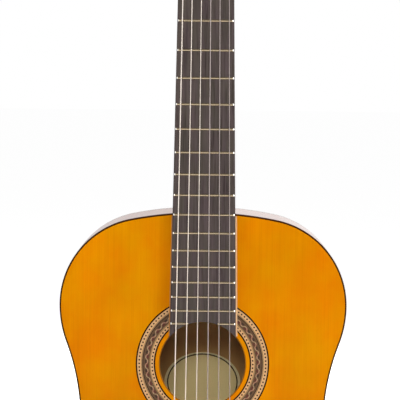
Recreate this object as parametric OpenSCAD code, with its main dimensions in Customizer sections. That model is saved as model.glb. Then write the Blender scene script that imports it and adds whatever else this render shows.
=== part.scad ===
// Classical guitar with a slotted head and open worm-gear tuning machines.
// +Z runs up the neck to the head, -Y is the playing side and +X is the treble side.
// The origin is on the centre line, where the front of the nut meets the top plane of the neck.
// The outer face of the soundboard lies in the same plane, at y = 0.

/* [Scale and strings] */
// Length of the open strings
scale_len = 650; // [640:1:660]
// Number of frets
fret_count = 19; // [12:1:19]
// Distance between the outer strings at the nut
nut_span = 43; // [40:0.5:45]
// Distance between the outer strings at the saddle
saddle_span = 58; // [54:0.5:60]
// Set-back of the saddle that keeps fretted notes in tune
saddle_setback = 2; // [0:0.5:3]
// Height of the string bed at the nut, above the neck plane
nut_bed_h = 7.4; // [7.2:0.1:8.2]
// Height of the saddle crown, above the soundboard
saddle_crown_h = 12.6; // [11.6:0.1:14]
// Diameter of the first string
string_1_d = 0.72; // [0.6:0.01:0.9]
// Diameter of the second string
string_2_d = 0.82; // [0.7:0.01:1]
// Diameter of the third string
string_3_d = 1.02; // [0.9:0.01:1.1]
// Diameter of the fourth string
string_4_d = 0.74; // [0.6:0.01:0.9]
// Diameter of the fifth string
string_5_d = 0.89; // [0.8:0.01:1]
// Diameter of the sixth string
string_6_d = 1.1; // [0.9:0.01:1.2]

/* [Fretboard and nut] */
// Width of the fretboard and the neck at the nut
nut_w = 52; // [50:0.5:54]
// Width of the fretboard and the neck at the twelfth fret
joint_w = 62; // [60:0.5:64]
// Thickness of the fretboard
fretboard_t = 6; // [5:0.1:6.2]
// Width of the fret crown
crown_w = 2.2; // [1.8:0.1:2.8]
// Height of the fret crown
crown_h = 1; // [0.8:0.05:1.1]
// Thickness of the fret tang
tang_w = 0.6; // [0.5:0.05:0.8]
// Depth of the fret tang
tang_h = 2; // [1.5:0.1:2.5]
// Play around a fret tang in its slot
tang_play = 0.03; // [0.02:0.01:0.06]
// Thickness of the nut along the strings
nut_len = 5; // [4.5:0.1:6]
// Height of the nut above the neck plane
nut_h = 8.6; // [8.4:0.1:9.6]

/* [Neck and heel] */
// Thickness of the neck wood behind the nut
neck_t_nut = 15.5; // [14.5:0.1:16.5]
// Thickness of the neck wood at the heel
neck_t_heel = 17.5; // [16.5:0.1:19]
// Length of the scarf joint between the neck and the head
scarf_len = 46; // [40:1:60]
// Width of the heel at the back
heel_w = 29; // [26:0.5:34]
// Reach of the heel in front of the body at the back
heel_reach = 21; // [18:0.5:28]
// Extra reach of the heel where it runs out into the neck
heel_sweep = 58; // [48:1:66]
// Thickness of the heel cap
heel_cap_t = 2.5; // [1.5:0.1:3.5]
// Width of the heel core that separates the rib slots
heel_core_w = 22; // [18:1:24]
// Width of the foot of the neck inside the body
foot_w = 60; // [50:1:70]
// Length of the foot of the neck inside the body
foot_len = 26; // [20:1:40]

/* [Head] */
// Length of the head from the nut
head_len = 188; // [184:1:196]
// Width of the head across the tuning machines
head_w = 72; // [71:0.5:76]
// Thickness of the head wood
head_t = 20; // [19:0.5:22]
// Backward tilt of the head
head_tilt = 12; // [9:0.5:14]
// Thickness of the head veneer
veneer_t = 2; // [1:0.1:2.5]
// Width of each string slot
slot_w = 16; // [15:0.5:17]
// Width of the rib between the slots
slot_rib_w = 14; // [13:0.5:15]
// Distance from the nut to the nearer slot end
slot_start = 20; // [18:0.5:22]
// Distance from the nut to the farther slot end
slot_end = 147; // [145:0.5:150]

/* [Tuning machines] */
// Distance from the nut to the first roller
roller_start = 58; // [57:0.5:60]
// Distance between rollers
roller_pitch = 35; // [34:0.1:35.5]
// Diameter of the string rollers
roller_d = 10; // [9:0.1:10.4]
// Diametral play of a roller in the head
roller_play = 0.4; // [0.3:0.05:0.6]
// Diameter of the roller core
core_d = 5; // [4.6:0.1:5.4]
// Diametral play of a roller core in its plate
core_play = 0.5; // [0.3:0.05:0.6]
// Teeth on each gear
gear_teeth = 14; // [13:1:15]
// Pitch diameter of each gear
gear_d = 11; // [10.6:0.1:11.4]
// Thickness of each gear
gear_t = 4; // [3.6:0.1:4.2]
// Pitch diameter of each worm
worm_d = 5.2; // [5:0.1:5.4]
// Diameter of the worm journals
journal_d = 3.4; // [3:0.1:3.6]
// Diametral play of a worm journal in its lug
journal_play = 0.3; // [0.2:0.05:0.4]
// Thickness of the machine plates
plate_t = 1.2; // [1:0.1:1.5]
// Width of the machine plates
plate_w = 16; // [15.4:0.1:17]
// Thickness of the worm lugs
lug_t = 1.6; // [1.4:0.1:1.8]
// Width of the buttons
button_w = 18; // [16:0.5:19]
// Height of the buttons along the worm
button_h = 13; // [12:0.5:15]
// Thickness of the buttons
button_t = 7.6; // [7:0.1:9]

/* [Body] */
// How far the body reaches above the twelfth fret
joint_rise = 2; // [0:0.5:3]
// Length of the body
body_len = 490; // [484:1:498]
// Width of the upper bout
upper_bout_w = 285; // [279:1:291]
// Width of the waist
waist_w = 242; // [236:1:248]
// Width of the lower bout
lower_bout_w = 370; // [360:1:378]
// Distance from the neck joint to the widest line of the upper bout
upper_bout_at = 92.5; // [89.5:0.5:96.5]
// Distance from the neck joint to the waist
waist_at = 211; // [205:1:216]
// Distance from the neck joint to the widest line of the lower bout
lower_bout_at = 364; // [358:1:370]
// Fall of the shoulder circle below the neck joint
shoulder_drop = 5.5; // [5:0.1:6.5]
// Rise of the lower bout circle above the tail
tail_rise = 11; // [9:0.5:14]
// Radius of the upper bout toward the waist
upper_waist_r = 107; // [100:1:114]
// Radius of the lower bout toward the waist
lower_waist_r = 128; // [120:1:136]
// Depth of the body at the neck
depth_neck = 94; // [90:0.5:98]
// Depth of the body at the tail
depth_tail = 100; // [96:0.5:104]
// Height of the back arch across the lower bout
back_arch = 4; // [3:0.25:6]
// Thickness of the soundboard
top_t = 2.6; // [2.2:0.1:3]
// Thickness of the back
back_t = 2.6; // [2.2:0.1:3]
// Thickness of the ribs
rib_t = 2; // [1.8:0.1:2.4]
// Width of the binding
binding_w = 2; // [1.6:0.1:2.4]
// Height of the binding
binding_h = 6; // [5:0.25:7]
// Width of the linings
lining_w = 5; // [4:0.25:7]
// Height of the linings
lining_h = 14; // [12:0.5:16]
// Glue line between fitted wooden pieces
glue = 0.05; // [0.03:0.01:0.08]

/* [Soundhole and rosette] */
// Distance from the neck joint to the centre of the soundhole
soundhole_at = 151; // [149:0.5:153]
// Diameter of the soundhole
soundhole_d = 85; // [82:0.5:86]
// Inner diameter of the rosette
rosette_in_d = 94; // [93:0.2:96]
// Width of each edge line of the rosette
rosette_line_w = 1.4; // [0.8:0.1:1.6]
// Width of the inner dotted band
rosette_inner_w = 4; // [3:0.1:4.4]
// Width of the mosaic band
rosette_mosaic_w = 8.6; // [8:0.1:9.4]
// Width of the outer dotted band
rosette_outer_w = 3.9; // [3:0.1:4.4]
// Depth of the rosette inlay
rosette_t = 1.2; // [0.8:0.1:1.5]
// Width of the label
label_w = 79; // [70:1:84]
// Height of the label
label_h = 63; // [56:1:68]
// Distance from the neck joint to the centre of the label
label_at = 183; // [180:1:186]

/* [Bridge] */
// Length of the bridge
bridge_len = 188; // [180:1:194]
// Length of the tie block
tie_len = 84; // [82:1:90]
// Height of the tie block and the saddle land
tie_h = 9; // [8.6:0.1:9.4]
// Thickness of the bridge wings beside the tie block
wing_t = 4; // [3.5:0.1:4.6]
// Thickness of the bridge wings at their ends
wing_end_t = 2.6; // [2:0.1:3.2]
// Bridge wood in front of the saddle
bridge_front = 8; // [7:0.25:9]
// Bridge wood behind the saddle
bridge_rear = 20; // [18.5:0.25:22]
// Depth of the tie block along the strings
tie_depth = 10.5; // [9.5:0.25:11]
// Length of the saddle
saddle_len = 79; // [76:1:80]
// Thickness of the saddle
saddle_t = 2.6; // [2.4:0.1:3]
// Depth of the saddle slot
saddle_seat = 5; // [4:0.1:5.5]
// Play around the saddle in its slot
saddle_play = 0.05; // [0.03:0.01:0.1]

/* [Hidden] */
$fn = 64;

function unit(v) = v / norm(v);
function mix(a, b, t) = a + (b - a) * t;

// Scale
joint_z = joint_rise - scale_len / 2;
saddle_z = -scale_len - saddle_setback;
hole_z = joint_z - soundhole_at;
function fret_z(n) = scale_len * (pow(2, -n / 12) - 1);
function board_half(z) = mix(nut_w, joint_w, z / joint_z) / 2;
string_d = [string_1_d, string_2_d, string_3_d, string_4_d, string_5_d, string_6_d];
function nut_x(k) = nut_span * (3.5 - k) / 5;
function saddle_x(k) = saddle_span * (3.5 - k) / 5;

// Body outline: eight arcs in tangent contact from the neck joint to the tail
half_u = upper_bout_w / 2;
half_w = waist_w / 2;
half_l = lower_bout_w / 2;
shoulder_r = upper_bout_at - shoulder_drop;
tail_r = body_len - lower_bout_at - tail_rise;
function end_r(half, r, run, drop) = (pow(half - r, 2) + run * run - r * r) / (2 * drop);
function cove_r(half, r, run) = (pow(half_w - half + r, 2) + run * run - r * r) / (2 * (half - half_w));
top_r = end_r(half_u, shoulder_r, upper_bout_at, shoulder_drop);
bottom_r = end_r(half_l, tail_r, body_len - lower_bout_at, tail_rise);
upper_cove_r = cove_r(half_u, upper_waist_r, waist_at - upper_bout_at);
lower_cove_r = cove_r(half_l, lower_waist_r, lower_bout_at - waist_at);
// Each arc: centre, radius, 1 where it bulges out and -1 where it curves in, number of steps
arcs = [
    [[0, -top_r], top_r, 1, 5],
    [[half_u - shoulder_r, -upper_bout_at], shoulder_r, 1, 20],
    [[half_u - upper_waist_r, -upper_bout_at], upper_waist_r, 1, 6],
    [[half_w + upper_cove_r, -waist_at], upper_cove_r, -1, 8],
    [[half_w + lower_cove_r, -waist_at], lower_cove_r, -1, 8],
    [[half_l - lower_waist_r, -lower_bout_at], lower_waist_r, 1, 8],
    [[half_l - tail_r, -lower_bout_at], tail_r, 1, 18],
    [[0, bottom_r - body_len], bottom_r, 1, 7]];
knots = [
    [0, 0],
    arcs[0][0] + top_r * unit(arcs[1][0] - arcs[0][0]),
    [half_u, -upper_bout_at],
    arcs[2][0] + upper_waist_r * unit(arcs[3][0] - arcs[2][0]),
    [half_w, -waist_at],
    arcs[5][0] + lower_waist_r * unit(arcs[4][0] - arcs[5][0]),
    [half_l, -lower_bout_at],
    arcs[7][0] + bottom_r * unit(arcs[6][0] - arcs[7][0]),
    [0, -body_len]];
function bearing(v) = atan2(v[1], v[0]);
function turn(a, b) = let (d = b - a) d > 180 ? d - 360 : d < -180 ? d + 360 : d;
function arc_points(i, inset) =
    let (c = arcs[i][0], n = arcs[i][3], r = arcs[i][1] - arcs[i][2] * inset)
    let (a0 = bearing(knots[i] - c), a1 = bearing(knots[i + 1] - c))
    [for (s = [1:n]) c + r * [cos(a0 + turn(a0, a1) * s / n), sin(a0 + turn(a0, a1) * s / n)]];
function half_outline(inset) = [for (i = [0:7]) each arc_points(i, inset)];

module body_outline(inset = 0) {
    right = half_outline(inset);
    last = len(right) - 1;
    left = [for (i = [last - 1:-1:0]) [-right[i][0], right[i][1]]];
    translate([0, joint_z]) polygon(concat([[0, -inset]], right, left));
}

// Extrusions: slab works on plan shapes in x and z, across works on side shapes in y and z
module slab(y0, y1) translate([0, y1, 0]) rotate([90, 0, 0]) linear_extrude(y1 - y0) children();
module across(x0, x1) translate([x0, 0, 0]) rotate([90, 0, 90]) linear_extrude(x1 - x0) children();
module rim(outer, inner) difference() {
    body_outline(outer);
    body_outline(inner);
}
module box_plan(x0, x1, z0, z1) translate([x0, z0]) square([x1 - x0, z1 - z0]);

// Back surface: an arch across the body that deepens toward the tail
back_tilt = atan((depth_tail - depth_neck) / body_len);
arch_r = (half_l * half_l + back_arch * back_arch) / (2 * back_arch);
arch_steps = 24;
reach = 100;
function arch_y(x, gap) = depth_neck - arch_r + sqrt(pow(arch_r - gap, 2) - x * x);
module inside_back(gap) {
    half = half_l + 10;
    curve = [for (i = [0:arch_steps]) let (x = half - 2 * half * i / arch_steps) [x, arch_y(x, gap)]];
    translate([0, 0, joint_z]) rotate([back_tilt, 0, 0]) translate([0, 0, -body_len - reach])
        linear_extrude(body_len + 2 * reach)
            polygon(concat([[-half, -reach], [half, -reach]], curve));
}
module back_layer(gap0, gap1) difference() {
    inside_back(gap0);
    inside_back(gap1);
}
deep = depth_tail + 12;
// Back pieces are cut from plan shapes that start at this depth
half_deep = depth_neck / 2;

// Plan shapes at the ends of the rim
core_half = heel_core_w / 2;
module rim_halves() for (side = [0, 1]) mirror([side, 0]) difference() {
    box_plan(glue / 2, half_l + 10, joint_z - body_len - 10, joint_z + 10);
    box_plan(0, core_half + glue, joint_z - 40, joint_z + 11);
}
end_block_w = 76;
end_block_t = 17;
// The linings stop this far below the foot and above the tail
foot_clear = 40;
end_clear = 60;
foot_end = joint_z - foot_len;
lining_in = max(rib_t, binding_w) + glue;
module lining_plan() difference() {
    rim(lining_in, lining_in + lining_w);
    box_plan(-foot_w / 2 - glue, foot_w / 2 + glue, foot_end - foot_clear, joint_z);
    box_plan(-end_block_w / 2 - glue, end_block_w / 2 + glue, joint_z - body_len,
        joint_z - body_len + end_clear);
}
brace_in = lining_in + lining_w + 0.3;

module soundboard() color("#d98a3c") difference() {
    slab(0, top_t) difference() {
        body_outline(binding_w + glue);
        translate([0, hole_z]) circle(d = soundhole_d);
    }
    slab(-1, rosette_t + glue) translate([0, hole_z]) difference() {
        circle(d = rosette_d + 2 * glue);
        circle(d = rosette_in_d - 2 * glue);
    }
}

// Rosette: edge lines, two dotted bands and a mosaic band, from the inside out
ring_1 = rosette_in_d / 2 + rosette_line_w;
ring_2 = ring_1 + rosette_inner_w;
ring_3 = ring_2 + rosette_mosaic_w;
ring_4 = ring_3 + rosette_outer_w;
rosette_d = 2 * (ring_4 + rosette_line_w);
module inlay(r0, r1) slab(0, rosette_t) translate([0, hole_z]) difference() {
    circle(r = r1 - glue / 2);
    circle(r = r0 + glue / 2);
}
module rosette_lines() color("#3a2416") {
    inlay(rosette_in_d / 2, ring_1);
    inlay(ring_4, ring_4 + rosette_line_w);
}
module rosette_dotted() color("#e8cda0") {
    inlay(ring_1, ring_2);
    inlay(ring_3, ring_4);
}
module rosette_mosaic() color("#7a4a36") inlay(ring_2, ring_3);

module back_plate() color("#5a2c18") intersection() {
    slab(half_deep, deep) body_outline(binding_w + glue);
    back_layer(0, back_t);
}
module rib(side) color("#5e2e19") intersection() {
    slab(binding_h + glue, deep) intersection() {
        rim(0, rib_t);
        rim_halves();
        mirror([side > 0 ? 0 : 1, 0]) box_plan(0, half_l + 10, joint_z - body_len - 10, joint_z + 10);
    }
    inside_back(binding_h + glue);
}
module bass_side() rib(-1);
module treble_side() rib(1);
module top_binding() color("#40200f") slab(0, binding_h) intersection() {
    rim(0, binding_w);
    rim_halves();
}
module back_binding() color("#40200f") intersection() {
    slab(half_deep, deep) intersection() {
        rim(0, binding_w);
        rim_halves();
    }
    back_layer(0, binding_h);
}
module top_linings() color("#c9a36b") slab(top_t + glue, top_t + glue + lining_h) lining_plan();
module back_linings() color("#c9a36b") intersection() {
    slab(half_deep, deep) lining_plan();
    back_layer(back_t + glue, back_t + glue + lining_h);
}
module end_block() color("#b98b52") intersection() {
    slab(top_t + glue, deep) intersection() {
        body_outline(max(rib_t, binding_w) + glue);
        box_plan(-end_block_w / 2, end_block_w / 2, joint_z - body_len,
            joint_z - body_len + rib_t + end_block_t);
    }
    inside_back(back_t + glue);
}

// Braces: bars with a rounded ridge, cut to the linings
bar_w = 8;
bar_h = 15;
bar_gap = soundhole_d / 2 + 14.5;
module ridge(w, h) {
    translate([-w / 2, 0]) square([w, h - w / 2]);
    translate([0, h - w / 2]) circle(d = w);
}
module harmonic_bars() color("#d8b27c") intersection() {
    slab(top_t + glue, top_t + glue + bar_h + 1) body_outline(brace_in);
    for (at = [soundhole_at - bar_gap, soundhole_at + bar_gap])
        translate([0, top_t + glue, joint_z - at]) across(-half_l, half_l) rotate(-90) ridge(bar_w, bar_h);
}
fan_w = 6;
fan_h = 5;
fan_len = 232;
fan_splay = 2.6;
fan_pitch = 26;
module fan_braces() color("#d8b27c") intersection() {
    slab(top_t + glue, top_t + glue + fan_h + 1) body_outline(brace_in + 6);
    for (i = [-3:3])
        translate([fan_pitch * i, top_t + glue, joint_z - soundhole_at - bar_gap - bar_w])
            rotate([0, -fan_splay * i, 0]) translate([0, 0, -fan_len])
                linear_extrude(fan_len) translate([0, -1]) ridge(fan_w, fan_h + 1);
}
back_bar_w = 9;
back_bar_h = 14;
// The braces of the back stay clear of the label
upper_bar_up = 77;
label_clear = 10;
lower_bar_up = 14;
back_bar_rows = [soundhole_at - upper_bar_up, label_at + label_h / 2 + label_clear,
    lower_bout_at - lower_bar_up];
module back_braces() color("#c9a36b") for (at = back_bar_rows) intersection() {
    slab(half_deep, deep) intersection() {
        body_outline(brace_in);
        box_plan(-half_l, half_l, joint_z - at - back_bar_w / 2, joint_z - at + back_bar_w / 2);
    }
    back_layer(back_t + glue, back_t + glue + back_bar_h);
}
label_t = 0.2;
label_z = joint_z - label_at;
module label() color("#b9ab7c") intersection() {
    slab(half_deep, deep) translate([0, label_z])
        polygon([for (a = [0:6:354]) [label_w / 2 * cos(a), label_h / 2 * sin(a)]]);
    back_layer(back_t + glue, back_t + glue + label_t);
}

// Neck: a loft of rounded sections that squares up toward the head
section_steps = 18;
function section_point(z, depth, power, i) =
    let (a = 180 * i / section_steps, c = cos(a), s = sin(a))
    [board_half(z) * sign(c) * pow(abs(c), 2 / power), depth * pow(abs(s), 2 / power), z];
function section(z, depth, power) = [for (i = [0:section_steps]) section_point(z, depth, power, i)];
// Joins closed rings of points into the faces of one closed solid
function loft_faces(rings, n) = concat(
    [[for (i = [0:n - 1]) i]],
    [for (r = [0:rings - 2]) for (i = [0:n - 1]) each [
        [r * n + i, (r + 1) * n + i, (r + 1) * n + (i + 1) % n],
        [r * n + i, (r + 1) * n + (i + 1) % n, r * n + (i + 1) % n]]],
    [[for (i = [n - 1:-1:0]) (rings - 1) * n + i]]);
head_root_t = head_t * cos(head_tilt);
neck_rings = [
    section(joint_z - 6, neck_t_heel, 2.5),
    section(-44, mix(neck_t_nut, neck_t_heel, 44 / -joint_z), 2.5),
    section(-28, neck_t_nut + 0.6, 2.8),
    section(-14, mix(neck_t_nut, head_root_t, 0.45), 4),
    section(nut_len, head_root_t, 9)];
module neck_loft() polyhedron([for (r = neck_rings) each r], loft_faces(len(neck_rings), section_steps + 1));
// Everything behind the scarf plane belongs to the head
scarf_angle = atan2(scarf_len, head_root_t);
module behind_scarf() translate([0, 0, nut_len]) rotate([-scarf_angle, 0, 0]) translate([-60, -150, 0])
    cube([120, 300, 120]);
// Heel: half ellipses that shrink from the neck to the heel cap
heel_steps = 10;
heel_top = 9;
function heel_half(t) = mix(joint_w / 2 - 4.5, heel_w / 2, pow(t, 0.7));
function heel_run(t) = heel_reach + heel_sweep * pow(1 - t, 4.5);
function heel_ring(t) =
    let (y = mix(heel_top, depth_neck + 6, t), a = heel_half(t), b = heel_run(t))
    concat([[-a, y, joint_z - 8]],
        [for (i = [0:14]) [-a * cos(i * 180 / 14), y, joint_z + b * sin(i * 180 / 14)]],
        [[a, y, joint_z - 8]]);
heel_rings = [for (i = [0:heel_steps]) heel_ring(i / heel_steps)];
module heel_loft() polyhedron([for (r = heel_rings) each r], loft_faces(heel_steps + 1, 17));
module joint_plan(inset) intersection() {
    body_outline(inset);
    box_plan(-foot_w, foot_w, foot_end, joint_z + 5);
}
module heel_core() intersection() {
    slab(0, deep) difference() {
        box_plan(-core_half, core_half, joint_z - 10, joint_z + 3);
        joint_plan(binding_w);
    }
    inside_back(heel_cap_t + glue);
}
module neck() color("#6b3a20") {
    difference() {
        union() {
            neck_loft();
            intersection() {
                heel_loft();
                inside_back(heel_cap_t + glue);
            }
        }
        behind_scarf();
        slab(-5, deep) joint_plan(-glue);
    }
    heel_core();
    intersection() {
        union() {
            slab(top_t + glue, deep) intersection() {
                joint_plan(max(rib_t, binding_w) + glue);
                box_plan(-foot_w / 2, foot_w / 2, foot_end, joint_z + 5);
            }
            slab(top_t + glue, deep) box_plan(-core_half, core_half, joint_z - 12, joint_z + 2.5);
        }
        inside_back(max(back_t, heel_cap_t) + glue);
    }
}
module heel_cap() color("#2a1710") intersection() {
    slab(half_deep, deep) difference() {
        translate([0, joint_z]) polygon(concat([[heel_half(1), -6]],
            [for (i = [0:14]) [heel_half(1) * cos(i * 180 / 14), heel_run(1) * sin(i * 180 / 14)]],
            [[-heel_half(1), -6]]));
        difference() {
            body_outline(-glue);
            box_plan(-core_half, core_half, joint_z - binding_w, joint_z + 5);
        }
    }
    back_layer(0, heel_cap_t);
}

// Head: its own frame is tilted back at the nut, with y from the face into the wood
module in_head() translate([0, 0, nut_len]) rotate([-head_tilt, 0, 0]) children();
head_half = head_w / 2;
shoulder_cove = head_half - nut_w / 2 + 4;
crest_r = 62;
module head_outline(low) difference() {
    union() {
        box_plan(-head_half, head_half, low, head_len - 14);
        intersection() {
            box_plan(-head_half, head_half, head_len - 40, head_len + 1);
            translate([0, head_len - crest_r]) circle(r = crest_r, $fn = 128);
        }
    }
    for (side = [0, 1]) mirror([side, 0]) {
        translate([nut_w / 2 + shoulder_cove, 9]) circle(r = shoulder_cove);
        box_plan(nut_w / 2, head_half + 1, low - 1, 9);
        translate([head_half + 4, head_len - 9]) circle(r = 9);
    }
}
slot_mid = slot_rib_w / 2 + slot_w / 2;
module slot_plan() for (side = [-1, 1]) translate([side * slot_mid, 0]) {
    box_plan(-slot_w / 2, slot_w / 2, slot_start + slot_w / 2, slot_end - slot_w / 2);
    translate([0, slot_start + slot_w / 2]) circle(d = slot_w);
    translate([0, slot_end - slot_w / 2]) circle(d = slot_w);
}
// Ramps that lead the strings down into the slots
ramp_run = 8;
ramp_fall = head_t / 2 - 2;
module slot_ramps() for (side = [-1, 1]) translate([side * slot_mid, 0, 0])
    across(-slot_w / 2, slot_w / 2) polygon([[-veneer_t, slot_start - ramp_run],
        [ramp_fall, slot_start + slot_w / 2], [-veneer_t - 1, slot_start + slot_w / 2],
        [-veneer_t - 1, slot_start - ramp_run]]);
roller_y = head_t / 2;
// The machines are numbered like the strings: 1 to 3 on the treble side, 4 to 6 on the bass side
function machine_row(k) = k < 4 ? k - 1 : 6 - k;
function roller_z(k) = roller_start + roller_pitch * machine_row(k);
function machine_side(k) = k < 4 ? 0 : 1;
module at_roller(k) in_head() mirror([machine_side(k), 0, 0]) translate([0, roller_y, roller_z(k)]) children();
roller_in = 2.6;
screw_rows = [roller_start - 18, roller_start + roller_pitch / 2 + 4, roller_start + 1.5 * roller_pitch + 4,
    roller_start + 2 * roller_pitch + 18];
screw_d = 2.2;
screw_len = 9;
screw_head_d = 4.6;
module rod_x(x0, x1, d) translate([x0, 0, 0]) rotate([0, 90, 0]) cylinder(h = x1 - x0, d = d);
module headstock() color("#6b3a20") difference() {
    union() {
        in_head() intersection() {
            slab(0, head_t) head_outline(-0.5);
            across(-head_half - 1, head_half + 1)
                polygon([[0, 0], [0.2, -0.5], [head_t - 2, -0.5], [head_t, 6], [head_t, head_len + 5],
                    [0, head_len + 5]]);
        }
        intersection() {
            neck_loft();
            behind_scarf();
        }
    }
    in_head() {
        slab(-1, head_t + 1) slot_plan();
        slot_ramps();
    }
    for (k = [1:6]) at_roller(k) rod_x(roller_in - 0.6, head_half + 1, roller_d + roller_play);
    for (side = [0, 1]) in_head() mirror([side, 0, 0]) for (z = screw_rows)
        translate([0, roller_y, z]) rod_x(head_half - screw_len - 0.2, head_half + 1, screw_d + 2 * glue);
}
module head_veneer() color("#2c1810") in_head() difference() {
    slab(-veneer_t, -glue) difference() {
        head_outline(0.4);
        slot_plan();
    }
    slot_ramps();
}

// Fretboard, frets and nut
board_end_r = soundhole_d / 2 + 0.2;
module fretboard() color("#2b2320") difference() {
    slab(-fretboard_t, -glue) difference() {
        polygon([[-board_half(0), 0], [board_half(0), 0],
            [board_half(hole_z), hole_z], [-board_half(hole_z), hole_z]]);
        translate([0, hole_z]) circle(r = board_end_r);
    }
    for (n = [1:fret_count]) translate([-60, -fretboard_t - 1, fret_z(n) - tang_w / 2 - tang_play])
        cube([120, tang_h + 1 + tang_play, tang_w + 2 * tang_play]);
}
crown_r = (crown_w * crown_w / 4 + crown_h * crown_h) / (2 * crown_h);
module fret(n) {
    half = board_half(fret_z(n)) - 0.1;
    intersection() {
        translate([0, -fretboard_t, fret_z(n)]) across(-half, half) {
            intersection() {
                translate([crown_r - crown_h, 0]) circle(r = crown_r, $fn = 32);
                translate([-crown_h - 1, -crown_w]) square([crown_h + 1, 2 * crown_w]);
            }
            translate([-0.05, -tang_w / 2]) square([tang_h + 0.05, tang_w]);
        }
        translate([0, 0, fret_z(n) - 3]) linear_extrude(6) polygon([[-half, 0], [half, 0],
            [half, -fretboard_t - 0.15], [half - 0.8, -fretboard_t - crown_h - 0.1],
            [0.8 - half, -fretboard_t - crown_h - 0.1], [-half, -fretboard_t - 0.15]]);
    }
}
module frets() color("#d9cfb0") difference() {
    for (n = [1:fret_count]) fret(n);
    slab(-20, 0) translate([0, hole_z]) circle(r = board_end_r + 1);
}
// A string from the saddle to the nut, then down to its roller
function roller_x(k) = [19.6, 15, 12.4, -12.4, -15, -19.6][k - 1];
function head_point(x, y, z) = [x, y * cos(head_tilt) + z * sin(head_tilt),
    nut_len - y * sin(head_tilt) + z * cos(head_tilt)];
function saddle_point(k) = [saddle_x(k), -saddle_crown_h - string_d[k - 1] / 2, saddle_z];
function nut_point(k) = [nut_x(k), -nut_bed_h - string_d[k - 1] / 2, 0];
function nut_back_point(k) = [nut_x(k), -nut_bed_h - string_d[k - 1] / 2, nut_len];
function roller_point(k) = head_point(roller_x(k), roller_y - roller_d / 2 - string_d[k - 1] / 2 - 0.1,
    roller_z(k));
module rod(p, q, d) {
    v = q - p;
    translate(p) rotate([0, acos(v[2] / norm(v)), atan2(v[1], v[0])]) cylinder(h = norm(v), d = d, $fn = 24);
}
// A round cord through a list of points, with mitred bends
cord_sides = 10;
function heading(path, i) = unit(
    (i == 0 ? [0, 0, 0] : unit(path[i] - path[i - 1]))
    + (i == len(path) - 1 ? [0, 0, 0] : unit(path[i + 1] - path[i])));
function cord_ring(p, t, r) =
    let (u = unit([1, 0, 0] - t[0] * t), v = cross(t, u))
    [for (a = [0:cord_sides - 1]) p + r * (u * cos(360 * a / cord_sides) + v * sin(360 * a / cord_sides))];
module cord(path, d) polyhedron([for (i = [0:len(path) - 1]) each cord_ring(path[i], heading(path, i), d / 2)],
    loft_faces(len(path), cord_sides));
module nut() color("#efe9d8") difference() {
    across(-nut_w / 2, nut_w / 2) polygon([[-glue, glue], [-glue, nut_len - glue - 0.15],
        [-nut_h + 2, nut_len - 0.6], [-nut_h + 0.5, nut_len - 1.6], [-nut_h, nut_len - 2.6],
        [-nut_h, glue]]);
    for (k = [1:6]) {
        d = string_d[k - 1] + 2 * glue;
        p = nut_point(k) - [0, 0, 1];
        q = nut_back_point(k) + [0, 0, 1];
        rod(p, q, d);
        translate([p[0] - d / 2, -nut_h - 1, -1]) cube([d, nut_h + 1 + p[1], nut_len + 2]);
    }
}

// Bridge: a grooved centre block with thin wings, seen in section from the side
tie_front = saddle_z - bridge_rear + tie_depth;
saddle_room = saddle_t / 2 + saddle_play;
trim_w = 1.6;
trim_t = 1;
wing_corner = 6;
wing_low = saddle_z - bridge_rear + 0.4;
wing_high = saddle_z + bridge_front - 0.4;
// Tie holes slope down from the trough to the back of the bridge
hole_y = -4.4;
hole_fall = 1.2;
tie_play = 0.4;
hole_back = saddle_z - bridge_rear - 2;
hole_front = tie_front + 2;
function tie_point(k, z) = [saddle_x(k),
    mix(hole_y + hole_fall, hole_y - hole_fall, (z - hole_back) / (hole_front - hole_back)), z];
module bridge() color("#4a2616") difference() {
    union() {
        across(-tie_len / 2, tie_len / 2) polygon([[-glue, saddle_z + bridge_front],
            [-6, saddle_z + bridge_front], [-tie_h, saddle_z + bridge_front - 4],
            [-tie_h, saddle_z - 4], [-wing_t, saddle_z - 5.5], [-wing_t, tie_front],
            [-tie_h, tie_front], [-tie_h, saddle_z - bridge_rear], [-glue, saddle_z - bridge_rear]]);
        intersection() {
            translate([0, 0, saddle_z - bridge_rear - 1]) linear_extrude(bridge_front + bridge_rear + 2)
                polygon([[-bridge_len / 2 - 1, -glue], [-bridge_len / 2 - 1, -wing_end_t], [-tie_len / 2, -wing_t],
                    [tie_len / 2, -wing_t], [bridge_len / 2 + 1, -wing_end_t], [bridge_len / 2 + 1, -glue]]);
            slab(-wing_t - 1, 1) {
                box_plan(wing_corner - bridge_len / 2, bridge_len / 2 - wing_corner, wing_low, wing_high);
                for (x = [-1, 1]) for (z = [wing_low + wing_corner, wing_high - wing_corner])
                    translate([x * (bridge_len / 2 - wing_corner), z]) circle(r = wing_corner);
                box_plan(-bridge_len / 2, bridge_len / 2, wing_low + wing_corner, wing_high - wing_corner);
            }
        }
    }
    translate([-saddle_len / 2 - saddle_play, -tie_h - 1, saddle_z - saddle_room])
        cube([saddle_len + 2 * saddle_play, saddle_seat + 1, 2 * saddle_room]);
    for (k = [1:6])
        rod(tie_point(k, hole_back), tie_point(k, hole_front), string_d[k - 1] + tie_play);
    for (z = [tie_front - trim_w - glue, saddle_z - bridge_rear - glue])
        translate([-tie_len / 2 - 1, -tie_h - 1, z])
            cube([tie_len + 2, trim_t + 1 + glue, trim_w + 2 * glue]);
}
module tie_trim() color("#e9dfc6") for (z = [tie_front - trim_w, saddle_z - bridge_rear])
    translate([-tie_len / 2, -tie_h, z]) cube([tie_len, trim_t, trim_w]);
module saddle() color("#efe9d8") translate([0, 0, saddle_z]) across(-saddle_len / 2, saddle_len / 2) {
    translate([-saddle_crown_h + saddle_t / 2, -saddle_t / 2])
        square([saddle_crown_h - saddle_t / 2 - tie_h + saddle_seat - saddle_play, saddle_t]);
    translate([-saddle_crown_h + saddle_t / 2, 0]) circle(d = saddle_t);
}
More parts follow.
